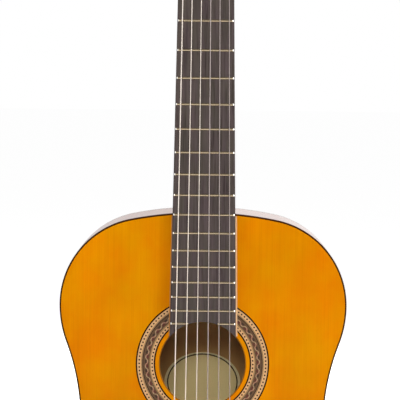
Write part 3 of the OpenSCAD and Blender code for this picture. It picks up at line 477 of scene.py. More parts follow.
def half_line(inset, start_x=0.0):
    """Points (x, z) of the treble half, from the neck joint to the tail, at an inset."""
    points = []
    for i, (centre, radius, bulge) in enumerate(ARCS):
        mid, r = Vector(centre), radius - bulge * inset
        a0, a1 = (math.atan2(*reversed(k - mid)) for k in (KNOTS[i], KNOTS[i + 1]))
        if i == 0:
            a0 -= math.asin(start_x / radius)
        sweep = (a1 - a0 + math.pi) % (2 * math.pi) - math.pi
        steps = max(4, round(abs(sweep) * radius / PITCH_MM))
        for s in range(0 if i == 0 else 1, steps + 1):
            a = a0 + sweep * s / steps
            points.append((mid.x + r * math.cos(a), JOINT_Z + mid.y + r * math.sin(a)))
    return points


def whole_line(inset):
    """The closed outline at an inset."""
    right = half_line(inset)
    return right + [(-x, z) for x, z in reversed(right[1:-1])]


print("outline points:", len(whole_line(0)), "end arcs in mm:", round(TOP_R), round(END_R))

# %% [markdown]
# ### The arch of the back
# The back is bent to a shallow arch and leans, so the body is deeper at the tail than at the
# neck. It could be modelled by eye, but many pieces meet it: the back plate, its binding, the
# ribs, the heel and the label. One formula for its depth keeps them together.

# %% Back surface
DEPTH_NECK, DEPTH_TAIL, BACK_ARCH = 94, 100.0, 4
TILT = math.atan((DEPTH_TAIL - DEPTH_NECK) / BODY_LEN)
ARCH_R = (HALF_L ** 2 + BACK_ARCH ** 2) / (2 * BACK_ARCH)


def back_y(x, z, gap=0.0):
    """Depth of the arched back at a point, less a gap."""
    arch = DEPTH_NECK - ARCH_R + math.sqrt((ARCH_R - gap) ** 2 - x * x)
    run = (z - JOINT_Z - arch * math.sin(TILT)) / math.cos(TILT)
    return arch * math.cos(TILT) - run * math.sin(TILT)


print("depth at neck and tail:", [round(back_y(0, JOINT_Z - d), 1) for d in (0, BODY_LEN)])

# %% [markdown]
# ### From points to pieces
# Most pieces below are made in one way: points in millimetres, faces between them, and a
# finish. Edges stay sharp only where faces meet at a clear angle, and the normals are turned
# outwards. The last step fixes a piece to the body that carries it.

# %% Mesh helpers
WELD = 1e-7


@contextmanager
def reshaping(mesh):
    """Opens a mesh for editing, and writes the result back."""
    shape = bmesh.new()
    shape.from_mesh(mesh)
    yield shape
    shape.to_mesh(mesh)
    shape.free()


def solid(name, points, faces, material, sharp=35):
    """A mesh object from points in millimetres, smooth between faces that are flat enough."""
    mesh = bpy.data.meshes.new(name)
    mesh.from_pydata([Vector(p) * MM for p in points], [], faces)
    mesh.validate()
    with reshaping(mesh) as shape:
        bmesh.ops.remove_doubles(shape, verts=shape.verts, dist=WELD)
        bmesh.ops.recalc_face_normals(shape, faces=shape.faces)
    mesh.materials.append(material)
    mesh.shade_smooth()
    mesh.set_sharp_from_angle(angle=math.radians(sharp))
    made = bpy.data.objects.new(name, mesh)
    scene.collection.objects.link(made)
    return made


def settle(piece, slot, *nodes, body="guitar"):
    """Fixes a finished piece to its body and hides the solids it stands for. The slot is not used.
    """
    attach(piece, body)
    if nodes:
        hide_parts(*nodes)
    print(piece.name, len(piece.data.polygons), "faces for", ", ".join(nodes) or "detail")
    return piece


def grid_faces(rows, columns, closed_rows=False, closed_columns=False):
    """Quads between rows of points that are stored one row after another."""
    return [(r * columns + c, r * columns + (c + 1) % columns,
        (r + 1) % rows * columns + (c + 1) % columns, (r + 1) % rows * columns + c)
        for r in range(rows - (not closed_rows)) for c in range(columns - (not closed_columns))]


def bar_faces(rows, columns):
    """Quads round a bar of closed sections, with a cap at either end."""
    last = (rows - 1) * columns
    caps = [tuple(range(columns)), tuple(range(last, last + columns))]
    return grid_faces(rows, columns, False, True) + caps


def around(steps):
    """Equal angles round a full turn."""
    return [2 * math.pi * i / steps for i in range(steps)]


print("faces of a bar with three square sections:", len(bar_faces(3, 4)))

# %% [markdown]
# ## Soundboard
# The top is a thin spruce plate with a round hole and a shallow channel for the rosette. A
# boolean could cut it, but the rim needs its own faces, so the plate is built in levels: each
# is filled between its loops and joined to the next by walls. The rim of the hole is rounded.
# That round is painted darker, as shade where the edge rolls into the hole, and the cut wall below
# it is pale wood.

# %% Soundboard
TOP_T, EDGE, RING_T, HOLE_R = 2.6, 1.7, 1.25, 42.5
CHANNEL_IN, CHANNEL_OUT, RIM_SHADE_R, WALL_R = 46.95, 66.35, 43.4, 42.52
RIM_ROUND = [(43.5, 0), (42.75, 0.12), (HOLE_R, 0.4)]


def circle(radius, steps=128):
    """Points (x, z) of a circle round the middle of the soundhole."""
    return [(radius * math.cos(a), HOLE_Z + radius * math.sin(a)) for a in around(steps)]


def stacked(levels, joins):
    """Points and faces from closed loops at depths. A join is a wall or a flat fill."""
    points, starts, faces = [], [], []
    for loop, y in levels:
        starts.append(len(points))
        points += [(x, y, z) for x, z in loop]
    for a, b, wall in joins:
        n, m = len(levels[a][0]), len(levels[b][0])
        if wall:
            faces += [(starts[a] + i, starts[a] + (i + 1) % n, starts[b] + (i + 1) % n,
                starts[b] + i) for i in range(n)]
        else:
            index = [*range(starts[a], starts[a] + n), *range(starts[b], starts[b] + m)]
            loops = [[Vector((x, z, 0)) for x, z in levels[k][0]] for k in (a, b)]
            faces += [tuple(index[i] for i in t) for t in tessellate_polygon(loops)]
    return points, faces


top_levels = [(whole_line(EDGE), 0), (circle(CHANNEL_OUT), 0), (circle(CHANNEL_OUT), RING_T),
    (circle(CHANNEL_IN), RING_T), (circle(CHANNEL_IN), 0)]
top_levels += [(circle(r), depth) for r, depth in RIM_ROUND]
top_levels += [(circle(HOLE_R), TOP_T), (whole_line(EDGE), TOP_T)]
hole_foot, top_foot = len(top_levels) - 2, len(top_levels) - 1
top_joins = [(0, 1, False), *[(k, k + 1, True) for k in range(1, hole_foot)],
    (top_foot, hole_foot, False), (0, top_foot, True)]
soundboard = solid("soundboard_top", *stacked(top_levels, top_joins), SPRUCE)
for rim_finish in (
        flecked("cut_edge", (236, 168, 96), (246, 184, 116), 0.5, 700, Specular_IOR_Level=0.2),
        flecked("hole_rim_painted_shade", (150, 90, 14), (164, 100, 18), 0.4, 700, Specular_IOR_Level=0.05)):
    soundboard.data.materials.append(rim_finish)
for face in soundboard.data.polygons:
    from_hole = Vector((face.center.x, 0, face.center.z - HOLE_Z * MM)).length / MM
    # Faces on the round of the rim get the darker finish, which is painted shade; the wall inside
    # them is pale cut wood.
    face.material_index = 1 if from_hole < WALL_R else 2 if from_hole < RIM_SHADE_R else 0
settle(soundboard, "soundboard", "soundboard")

# %% [markdown]
# ## Bindings and ribs
# The ribs are two bent strips of wood, and a dark binding covers each corner where they meet
# the plates. A curve with a profile could follow the outline, but the profile would twist along
# the arched back. So each piece is a section that is carried along paired points: a list of
# inset and depth, where the depth is counted from the top for one binding and from the back for
# the other.

# %% Rim pieces
HEEL_EDGE, TAIL_GAP = 11.05, 0.03
BIND_W, BIND_H, RIB_T = 1.65, 6.0, 2.0
BIND_ROUND = [(0.8, 0), (0.42, 0.08), (0.18, 0.3), (0.04, 0.7), (0, 1.2)]
RIB_EDGE = BIND_H + GLUE


def carried(section):
    """Points and faces of a closed section carried from the heel to the tail, treble side."""
    lines = [half_line(inset, HEEL_EDGE) for inset, _ in section]
    rows, points = len(lines[0]), []
    for i in range(rows):
        for line, (_, depth) in zip(lines, section):
            x, z = max(line[i][0], TAIL_GAP), line[i][1]
            points.append((x, depth(x, z), z))
    return points, bar_faces(rows, len(section))


def both_sides(points, faces):
    """The same shape and its mirror image across the centre line."""
    n = len(points)
    return (points + [(-x, y, z) for x, y, z in points],
        faces + [tuple(n + i for i in reversed(f)) for f in faces])


def from_top(depth):
    """A depth counted from the soundboard's face."""
    return lambda x, z: depth


def from_back(gap):
    """A depth counted inwards from the back."""
    return lambda x, z: back_y(x, z, gap)


def bare_faces(piece, indices):
    """Leaves the faces that look into the box unvarnished."""
    piece.data.materials.append(INSIDE_WOOD)
    for i in indices:
        piece.data.polygons[i].material_index = 1
    return piece


corner = [(BIND_W, 0), *BIND_ROUND, (0, BIND_H), (BIND_W, BIND_H)]
for where, depth_from in (("top", from_top), ("back", from_back)):
    shape = both_sides(*carried([(inset, depth_from(depth)) for inset, depth in corner]))
    settle(solid("binding_" + where, *shape, BINDING, 50), "binding", where + "_binding")
rib_points, rib_faces = carried([(0, from_top(RIB_EDGE)), (0, from_back(RIB_EDGE)),
    (RIB_T, from_back(RIB_EDGE)), (RIB_T, from_top(RIB_EDGE))])
inner_face, sides_of_rib, caps = 2, 4, 2
for label, side in (("treble", 1), ("bass", -1)):
    rib = solid("rib_" + label, [(side * x, y, z) for x, y, z in rib_points], rib_faces,
        BODY_WOOD, 50)
    bare_faces(rib, range(inner_face, len(rib_faces) - caps, sides_of_rib))
    settle(rib, "body_wood", label + "_side")

# %% [markdown]
# ### Back plate
# The back fills the outline inside its binding. Rows of points run across it, from each outline
# point to its mirror image, and every point takes its depth from the arch. A solidify modifier
# could thicken one sheet, but two sheets with a rim between them keep the rim upright and give
# the inside a finish of its own: bare wood.

# %% Back plate
BACK_T, BACK_COLUMNS = 2.6, 29


def back_sheet(gap):
    """Rows of points across the back, at a gap below its outer face."""
    shares = [2 * c / (BACK_COLUMNS - 1) - 1 for c in range(BACK_COLUMNS)]
    return [(x * s, back_y(x * s, z, gap), z) for x, z in half_line(EDGE)[1:-1] for s in shares]


outer = back_sheet(0)
shift, wide = len(outer), BACK_COLUMNS
back_rows = shift // wide
sheet_faces = grid_faces(back_rows, wide)
rim = [*range(wide), *[r * wide + wide - 1 for r in range(1, back_rows)],
    *[(back_rows - 1) * wide + c for c in range(wide - 2, -1, -1)],
    *[r * wide for r in range(back_rows - 2, 0, -1)]]
rim_faces = [(a, b, shift + b, shift + a) for a, b in zip(rim, rim[1:] + rim[:1])]
inner_faces = [tuple(shift + i for i in f) for f in sheet_faces]
back = solid("back_arched", outer + back_sheet(BACK_T), sheet_faces + inner_faces + rim_faces,
    BACK_WOOD, 50)
bare_faces(back, range(len(sheet_faces), 2 * len(sheet_faces)))
settle(back, "body_wood", "back_plate")

# %% [markdown]
# ## Rosette
# The rosette is a ring of marquetry. From the outside in it has a black line, a cream band
# with a row of dark dots, a mosaic of tiny stained squares, a second dotted band and a second
# black line. The lines and bands could be one ring with a striped finish, but the real ones are
# separate strips, so they are turned rings that lie flush with the top.

# %% Rosette rings
INLAY_T, SLIT = 1.2, 0.02
LINE_IN, BAND_IN, BAND_OUT, LINE_OUT = (47.0, 48.4), (48.4, 52.4), (61.0, 64.9), (64.9, 66.3)
STRIPE_FROM, STRIPE_TO, CREAM, TAN = 0.048, 0.066, (219, 173, 121), (160, 122, 78)


def turned(profile, steps=160):
    """A closed section of radius and depth, turned round the axis of the soundhole."""
    points = [(r * math.cos(a), y, HOLE_Z + r * math.sin(a))
        for a in around(steps) for r, y in profile]
    return points, grid_faces(steps, len(profile), True, True)


def flat_ring(name, radii, material):
    """One inlaid ring, flush with the top."""
    r0, r1 = radii[0] + SLIT, radii[1] - SLIT
    return solid(name, *turned([(r0, 0), (r1, 0), (r1, INLAY_T), (r0, INLAY_T)]), material)


def merged(name, pieces):
    """Several objects as one."""
    whole = bmesh.new()
    for p in pieces:
        whole.from_mesh(p.data)
    first = pieces[0]
    whole.to_mesh(first.data)
    whole.free()
    for p in pieces[1:]:
        bpy.data.objects.remove(p)
    first.name = name
    return first


def banded(name):
    """Cream where the dots run and tan beside the mosaic, by the distance from the hole."""
    mat, tree, shader = finish(name, 0.3, Specular_IOR_Level=0.3)
    place = add_node(tree, "ShaderNodeTexCoord")
    level = add_node(tree, "ShaderNodeMapping",
        {"Location": (0, 0, -HOLE_Z * MM), "Scale": (1, 0, 1)})
    far = add_node(tree, "ShaderNodeVectorMath", operation="LENGTH")
    wire(tree, (place.outputs["Object"], level.inputs["Vector"]), (level.outputs[0], far.inputs[0]))
    span = remap(tree, far.outputs["Value"], (STRIPE_FROM, STRIPE_TO), (0, 1))
    stripes = ramp(tree, span, tones((0.0, 0.17, 0.22, 0.7, 0.74, 1.0),
        CREAM, CREAM, TAN, TAN, CREAM, CREAM))
    mottled = shade(tree, stripes, noise(tree, (400, 400, 400), 2), 0.92, 1.06)
    tree.links.new(mottled, shader.inputs["Base Color"])
    return mat


lines = [flat_ring("line_in", LINE_IN, LINE_BLACK), flat_ring("line_out", LINE_OUT, LINE_BLACK)]
settle(merged("rosette_line_pair", lines), "rosette_line", "rosette_lines")
BAND = banded("rosette_cream")
bands = [flat_ring("band_in", BAND_IN, BAND), flat_ring("band_out", BAND_OUT, BAND)]
settle(merged("rosette_band_pair", bands), "rosette_band", "rosette_dotted")

# %% [markdown]
# ### Mosaic
# Makers glue thin stained sticks into a block and slice it, so that each slice shows tiny
# squares. A picture on one flat ring could show them, but this file uses no pictures. The ring
# is cut into small faces instead, and a rule gives each its stain: a pale rope that winds along
# the ring, with dark seeds in its bends. The stain is kept on the mesh as a colour attribute.

# %% Mosaic
TILE_COLUMNS, TILE_ROWS, MOSAIC_IN, MOSAIC_OUT = 608, 16, 52.42, 60.98
WAVE_TILES, ROPE_R, ROPE_SWING, ROPE_HALF = 16, 55.6, 1.25, 0.5
SEED_SWING, SEED_HALF, SEED_FROM = 1.0, 0.75, 0.55
RIM_TAN, RIM_DARK, RIM_INNER = 60.0, 58.8, 53.2


def mosaic_colour(column, radius):
    """The stain of one square: a pale rope that winds between dark seeds, inside a dark line."""
    turn = 2 * math.pi * column / WAVE_TILES
    across, swing = radius - ROPE_R, math.sin(turn)
    flicker = (column * 7 + round(radius * 5) * 3) % 5
    if radius > RIM_TAN:
        return (160, 122, 80)
    if radius > RIM_DARK:
        return (56, 32, 12)
    if radius < RIM_INNER:
        return (134, 100, 64)
    if abs(across - ROPE_SWING * swing) < ROPE_HALF:
        return (174, 122, 98) if math.cos(turn) > 0.3 else (170, 140, 106)
    if abs(across + SEED_SWING * swing) < SEED_HALF and abs(swing) > SEED_FROM:
        return (92, 34, 30) if swing > 0 else (58, 36, 22)
    return (80 + 7 * flicker, 54 + 6 * flicker, 30 + 5 * flicker)


def mosaic_finish():
    """Stained squares under varnish: the colour is kept on the mesh."""
    mat, tree, shader = finish("rosette_mosaic_stain", 0.3, Specular_IOR_Level=0.3)
    stain = add_node(tree, "ShaderNodeVertexColor", layer_name="stain").outputs["Color"]
    mottled = shade(tree, stain, noise(tree, (500, 500, 500), 2), 0.85, 1.12)
    tree.links.new(mottled, shader.inputs["Base Color"])
    return mat


tile = (MOSAIC_OUT - MOSAIC_IN) / TILE_ROWS
tile_section = [(MOSAIC_IN + (MOSAIC_OUT - MOSAIC_IN) * k / TILE_ROWS, 0.0)
    for k in range(TILE_ROWS + 1)] + [(MOSAIC_OUT, INLAY_T), (MOSAIC_IN, INLAY_T)]
tiles = solid("rosette_mosaic_ring", *turned(tile_section, TILE_COLUMNS), mosaic_finish())
stains = tiles.data.color_attributes.new("stain", "FLOAT_COLOR", "CORNER")
for face in tiles.data.polygons:
    x, _, z = face.center / MM
    share = (math.atan2(z - HOLE_Z, x) % (2 * math.pi)) / (2 * math.pi)
    stain = tint(*mosaic_colour(int(share * TILE_COLUMNS), math.hypot(x, z - HOLE_Z)))
    for loop in face.loop_indices:
        stains.data[loop].color = stain
settle(tiles, "rosette_mosaic", "rosette_mosaic")
print("a square of the mosaic is", round(tile, 2), "mm high")

# %% [markdown]
# ### Dots of the rosette
# The dots repeat round a circle, so Geometry Nodes place them: a circle of points, a small
# disc on each, and a turn that lays the ring on the soundboard. The result is kept as a plain
# mesh, because an export would drop instances.

# %% Dots
DOT_R, DOT_T, DOT_Y, DOT_SIDES = 0.9, 0.2, 0.07, 8
DOT_RINGS = (("outer", 110, 62.9), ("inner", 86, 50.0))


def new_tree(name, inputs):
    """A Geometry Nodes tree, the outputs that give its named inputs, and its last node."""
    tree = bpy.data.node_groups.new(name, "GeometryNodeTree")
    for label, kind in inputs:
        tree.interface.new_socket(label, in_out="INPUT", socket_type="NodeSocket" + kind)
    tree.interface.new_socket("Geometry", in_out="OUTPUT", socket_type="NodeSocketGeometry")
    return tree, add_node(tree, "NodeGroupInput").outputs, add_node(tree, "NodeGroupOutput")


def close_tree(tree, geometry, material, end):
    """Makes instances real and gives them their finish."""
    real = add_node(tree, "GeometryNodeRealizeInstances")
    paint = add_node(tree, "GeometryNodeSetMaterial", {"Material": material})
    wire(tree, (geometry, real.inputs[0]), (real.outputs[0], paint.inputs["Geometry"]),
        (paint.outputs[0], end.inputs[0]))


def keep_result(piece, tool):
    """Makes what a modifier shows the piece's own mesh, and takes the modifier off."""
    bpy.context.view_layer.update()
    shown = piece.evaluated_get(bpy.context.evaluated_depsgraph_get())
    mesh = bpy.data.meshes.new_from_object(shown)
    piece.modifiers.remove(tool)
    piece.data = mesh
    return piece


def grown(name, tree, sizes):
    """Runs a tree with its sizes and keeps the result as a plain mesh."""
    piece = bpy.data.objects.new(name, bpy.data.meshes.new(name + "_seed"))
    scene.collection.objects.link(piece)
    run = piece.modifiers.new(name, "NODES")
    run.node_group = tree
    for item in tree.interface.items_tree:
        if item.in_out == "INPUT":
            run[item.identifier] = sizes[item.name]
    return keep_result(piece, run)


dot_tree, dot_in, dot_out = new_tree("dot_ring", [("Count", "Int"), ("Ring radius", "Float"),
    ("Dot radius", "Float"), ("Centre", "Vector")])
dot_points = add_node(dot_tree, "GeometryNodeMeshCircle")
dot_disc = add_node(dot_tree, "GeometryNodeMeshCylinder",
    {"Vertices": DOT_SIDES, "Depth": DOT_T * MM})
dot_place = add_node(dot_tree, "GeometryNodeInstanceOnPoints")
dot_turn = add_node(dot_tree, "GeometryNodeTransform", {"Rotation": (math.radians(90), 0, 0)})
wire(dot_tree, (dot_in["Count"], dot_points.inputs["Vertices"]),
    (dot_in["Ring radius"], dot_points.inputs["Radius"]),
    (dot_in["Dot radius"], dot_disc.inputs["Radius"]),
    (dot_points.outputs[0], dot_place.inputs["Points"]),
    (dot_disc.outputs[0], dot_place.inputs["Instance"]),
    (dot_place.outputs[0], dot_turn.inputs["Geometry"]),
    (dot_in["Centre"], dot_turn.inputs["Translation"]))
DOT_BROWN = flecked("dot_brown", (46, 22, 12), (62, 32, 18), 0.4, 900, Specular_IOR_Level=0.1)
close_tree(dot_tree, dot_turn.outputs[0], DOT_BROWN, dot_out)
for label, count, radius in DOT_RINGS:
    ring = grown("rosette_dots_" + label, dot_tree, {"Count": count, "Ring radius": radius * MM,
        "Dot radius": DOT_R * MM, "Centre": (0, DOT_Y * MM, HOLE_Z * MM)})
    settle(ring, "rosette_line")

# %% [markdown]
# ## Label inside the body
# A paper label is glued to the back, where it shows through the soundhole. It is plain paper
# with the thin dark line that borders such labels. A flat disc would float above the arch or
# cut into it, so the sheet, its border and its pale rim are ovals whose points take their depth
# from the arch of the back.

# %% Label
LABEL_Z, LABEL_A, LABEL_B, PAPER_T = JOINT_Z - 183, 39.5, 31.5, 0.15
BORDER_IN, BORDER_OUT, RIM_OUT = (35.5, 28.7), (36.7, 29.9), (39.3, 31.3)
SHEET_GAP, RIM_GAP, BORDER_GAP = 2.86, 2.88, 2.9


def oval(name, rings, gap, material, steps=120):
    """A thin sheet between ovals of half-width and half-height, on the back's inner face."""
    sides = [(ring, gap) for ring in rings]
    sides += [(ring, gap - PAPER_T) for ring in reversed(rings)]
    points = []
    for (a, b), depth in sides:
        for turn in around(steps):
            x, z = a * math.cos(turn), LABEL_Z + b * math.sin(turn)
            points.append((x, back_y(x, z, depth), z))
    open_middle = rings[0][0] > 0
    return solid(name, points, grid_faces(len(sides), steps, open_middle, True), material)


PAPER = flecked("label_paper", (248, 224, 156), (254, 234, 168), 0.8, 900, 0.1)
INK = flecked("label_line", (54, 38, 18), (64, 46, 22), 0.7, 600)
PALE_PAPER = flecked("label_paper_rim", (250, 232, 176), (255, 242, 190), 0.8, 900, 0.1)
sheet_rings = [(LABEL_A * k, LABEL_B * k) for k in (0, 0.25, 0.5, 0.75, 1)]
settle(oval("label_sheet", sheet_rings, SHEET_GAP, PAPER), "label", "label")
settle(oval("label_border", [BORDER_IN, BORDER_OUT], BORDER_GAP, INK), "label")
settle(oval("label_rim", [BORDER_OUT, RIM_OUT], RIM_GAP, PALE_PAPER), "label")

# %% [markdown]
# ## Neck and heel
# The back of the neck is a flattened half round that flows down into the heel. A smooth block
# could be pulled into that shape by hand, but then its size is hard to keep. Each slice across
# the neck is drawn by rays from the middle of the playing plane instead: a ray stops at the
# shaft or at the heel, whichever is farther, and a soft maximum blends the two. The end under
# the head is cut at the slope of the scarf joint.

# %% Neck
NUT_HALF, JOINT_HALF, HEAD_T, SCARF_LEN, HEAD_TILT = 26, 31, 20, 46, math.radians(12)
SHAFT = [(JOINT_Z - 6, 17.5, 2.5), (-44, 15.77, 2.5), (-28, 16.1, 2.8), (-14, 17.3, 4),
    (NUT_LEN, 19.56, 9)]
HEEL_FROM, HEEL_DEEP, HEEL_LEN, CAP_T = 9, 91, 80, 2.5
HEEL_RUN, HEEL_SWEEP, SWEEP_POWER = 21, 58, 4.5
HEEL_HALF, HEEL_TAPER, TAPER_POWER = 26.5, 12, 0.7
RAY_STEP, RAY_STEPS, NECK_STEPS, SOFTNESS = 0.5, 200, 72, 10
HEEL_SLICES, SLICE_POWER, HEEL_LAP, CAP_CLEAR = 34, 1.4, 0.06, 0.01


def board_half(z):
    """Half the width of the fretboard at a height."""
    return NUT_HALF + (JOINT_HALF - NUT_HALF) * z / JOINT_Z


def shaft_reach(z, angle):
    """How far the shaft's section goes along a ray. Its stations give depth and squareness."""
    for (z0, d0, p0), (z1, d1, p1) in zip(SHAFT, SHAFT[1:]):
        if z <= z1:
            t = (z - z0) / (z1 - z0)
            depth, power = d0 + (d1 - d0) * t, p0 + (p1 - p0) * t
            break
    c, s = abs(math.cos(angle)) / board_half(z), math.sin(angle) / depth
    return (c ** power + s ** power) ** (-1 / power)


def heel_reach(z, angle):
    """How far the heel goes along a ray: half ovals that shrink from the neck to its cap."""
    deepest = back_y(0, z, CAP_T + GLUE)
    for k in range(RAY_STEPS, 0, -1):
        r = k * RAY_STEP
        y, x = r * math.sin(angle), r * abs(math.cos(angle))
        t = (y - HEEL_FROM) / HEEL_DEEP
        if y < HEEL_FROM or y > deepest or t > 1:
            continue
        rise = (z - JOINT_Z) / (HEEL_RUN + HEEL_SWEEP * (1 - t) ** SWEEP_POWER)
        half = HEEL_HALF - HEEL_TAPER * t ** TAPER_POWER
        if rise < 1 and x < half * math.sqrt(1 - max(rise, 0) ** 2):
            return r
    return 0.0


def neck_slice(z):
    """Points of one slice, from the treble edge round the back to the bass edge."""
    points = []
    for i in range(NECK_STEPS + 1):
        angle = math.pi * i / NECK_STEPS
        r = shaft_reach(z, angle)
        heel = heel_reach(z, angle) if z < JOINT_Z + HEEL_LEN else 0
        if heel:
            r = (r ** SOFTNESS + heel ** SOFTNESS) ** (1 / SOFTNESS)
        deepest = back_y(0, z, CAP_T + GLUE + CAP_CLEAR)
        x, y = r * math.cos(angle), min(r * math.sin(angle), deepest)
        points.append((x, y, z if z > JOINT_Z else z - x * x / (2 * TOP_R)))
    return points


heel_slices = [JOINT_Z - HEEL_LAP + HEEL_LEN * (k / HEEL_SLICES) ** SLICE_POWER
    for k in range(HEEL_SLICES + 1)]
slices = [*heel_slices, *range(-224, -40, 20), *range(-40, 1, 4), NUT_LEN]
neck_points = [p for z in slices for p in neck_slice(z)]
neck = solid("neck_shaft", neck_points, bar_faces(len(slices), NECK_STEPS + 1), NECK_WOOD, 50)
scarf = math.atan2(SCARF_LEN, HEAD_T * math.cos(HEAD_TILT))
with reshaping(neck.data) as cut:
    kept = bmesh.ops.bisect_plane(cut, geom=[*cut.verts, *cut.edges, *cut.faces],
        plane_co=(0, 0, NUT_LEN * MM), plane_no=(0, math.sin(scarf), math.cos(scarf)),
        clear_outer=True)
    rim = [e for e in kept["geom_cut"] if isinstance(e, bmesh.types.BMEdge)]
    bmesh.ops.holes_fill(cut, edges=rim)
settle(neck, "neck_wood", "neck")

# %% [markdown]
# ### Foot of the neck
# Inside the body the neck ends in a foot that is glued to the back, and a core stands between
# the ends of the ribs. They could be one piece with the neck, but little of them is seen, and
# only through the soundhole. So each is a block with a bevel on every edge.

# %% Foot of the neck
FOOT_HALF, FOOT_LEN, FOOT_TOP, FOOT_GAP = 30, 26, 3.2, 2.8
CORE_HALF, CORE_FRONT, CORE_LOW, CORE_HIGH = 11, 0.2, 10, 0.5
BLOCK_FACES = [(0, 1, 3, 2), (4, 6, 7, 5), (0, 4, 5, 1), (2, 3, 7, 6), (0, 2, 6, 4), (1, 5, 7, 3)]


def block(name, low, high, material, ease):
    """A box with eased edges, from its two corners."""
    points = [(x, y, z) for x in (low[0], high[0]) for y in (low[1], high[1])
        for z in (low[2], high[2])]
    piece = solid(name, points, BLOCK_FACES, material)
    with reshaping(piece.data) as shape:
        bmesh.ops.bevel(shape, geom=[*shape.edges], offset=ease * MM, segments=2,
            affect="EDGES", profile=0.5)
    return piece


foot_y = back_y(0, JOINT_Z, FOOT_GAP)
foot = block("neck_foot", (-FOOT_HALF, TOP_T + GLUE, JOINT_Z - FOOT_LEN),
    (FOOT_HALF, foot_y, JOINT_Z - FOOT_TOP), NECK_WOOD, 1)
core = block("neck_core", (-CORE_HALF, CORE_FRONT, JOINT_Z - CORE_LOW),
    (CORE_HALF, foot_y, JOINT_Z + CORE_HIGH), NECK_WOOD, 0.2)
settle(foot, "neck_wood")
settle(core, "neck_wood")

# %% [markdown]
# ## Fretboard
# The fretboard is a tapered slat of rosewood whose end is scooped round the soundhole. Its long
# edges are rolled by the hand of the maker, and a bevel on a plain slat would roll its ends as
# well. So the slat has three levels, of which the upper is narrower, and a small bevel then
# softens all edges.

# %% Fretboard
SCOOP, TIP_HALF, ROLL_W, ROLL_T, BOARD_STEPS = 42.7, 32.8, 0.7, 0.6, 48


def eased_mesh(piece, width, angle, segments):
    """Rounds the sharp edges of a piece and keeps the result as its mesh."""
    tool = piece.modifiers.new("ease", "BEVEL")
    tool.width, tool.segments = width * MM, segments
    tool.limit_method, tool.angle_limit = "ANGLE", math.radians(angle)
    keep_result(piece, tool)
    piece.data.shade_smooth()
    piece.data.set_sharp_from_angle(angle=math.radians(angle))
    return piece


tip_z = HOLE_Z + math.sqrt(SCOOP ** 2 - TIP_HALF ** 2)
tip_turn = math.atan2(tip_z - HOLE_Z, board_half(tip_z))
scoop_turns = [tip_turn + (math.pi - 2 * tip_turn) * i / BOARD_STEPS
    for i in range(BOARD_STEPS + 1)]
board_plan = [(NUT_HALF * (i / (BOARD_STEPS // 2) - 1), 0) for i in range(BOARD_STEPS + 1)]
board_plan += [(SCOOP * math.cos(a), HOLE_Z + SCOOP * math.sin(a)) for a in scoop_turns]
board_face = [(math.copysign(min(abs(x), board_half(z) - ROLL_W), x), z) for x, z in board_plan]
board_levels = [(board_face, -BOARD_T), (board_plan, ROLL_T - BOARD_T), (board_plan, -GLUE)]
board_points = [(x, y, z) for loop, y in board_levels for x, z in loop]
n = len(board_plan)
board_faces = [(k + i, k + i + 1, k + n - 2 - i, k + n - 1 - i)
    for k in (0, 2 * n) for i in range(BOARD_STEPS)]
board_faces += [(k + i, k + (i + 1) % n, k + n + (i + 1) % n, k + n + i)
    for k in (0, n) for i in range(n)]
fretboard = solid("fretboard_slat", board_points, board_faces, ROSEWOOD)
settle(eased_mesh(fretboard, 0.2, 20, 2), "fretboard", "fretboard")

# %% [markdown]
# ### Painted highlight beside the board
# A narrow pale line runs along the board where it lies on the top. Its colour is a painted
# highlight, where that edge catches the light from the right. A stripe in the finish of the top
# would need a mask that follows the board's taper, so a thin sloped strip lies there instead.
# On the bass side the strip is narrower and darker, as painted shade from the board.

# %% Painted highlight line
LINE_UP, LINE_OUT_UP, LINE_DOWN, LINE_TUCK, LINE_TOP, LINE_END = 0.5, 0.04, 0.3, 0.1, 3.6, 0.6
# Two pale finishes that stand for light: a painted highlight on the treble side, and a darker copy
# of it as painted shade on the bass side.
TREBLE_HIGHLIGHT = flecked("painted_highlight_line", (224, 178, 132), (236, 192, 146), 0.5, 700,
    Specular_IOR_Level=0.2)
BASS_SHADED_HIGHLIGHT = flecked("painted_highlight_in_shade", (186, 124, 62), (200, 138, 74), 0.5, 700,
    Specular_IOR_Level=0.2)
for label, side, width, line_finish in (("bass", -1, 1.1, BASS_SHADED_HIGHLIGHT),
        ("treble", 1, 1.6, TREBLE_HIGHLIGHT)):
    line_points = []
    for z in (JOINT_Z - LINE_TOP, tip_z + LINE_END):
        near = board_half(z) - LINE_TUCK
        far = near + width
        section = ((near, -LINE_UP), (far, -LINE_OUT_UP), (far, LINE_DOWN), (near, LINE_DOWN))
        line_points += [(side * x, y, z) for x, y in section]
    settle(solid("bare_line_" + label, line_points, bar_faces(2, 4), line_finish), "soundboard")

# %% [markdown]
# ## Frets
# Frets are crowned metal bars that follow the rule of the twelfth root of two, so one Geometry
# Nodes tree sets them all: it counts points, works out each height and width, and puts a bar on
# each. The ends are filed to a slope, and a whiter copy of the nickel on those slopes is a painted
# glint. The tree gives all bars one finish, so the sloped faces are found afterwards, by the way
# they point.

# %% Frets
FRETS, CROWN_H, CROWN_HALF, CROWN_STEPS, SEAT, SLOPE = 18, 1.0, 1.1, 8, 1.0, 1.05
BAR_HALF, END_INSET, END_NARROW, GLINT_FROM = 29, 0.7, 0.15, 0.3
BAR_END = [(0, 0.12), (0.1, 0.25), (1, 0.95), (1.2, 1)]


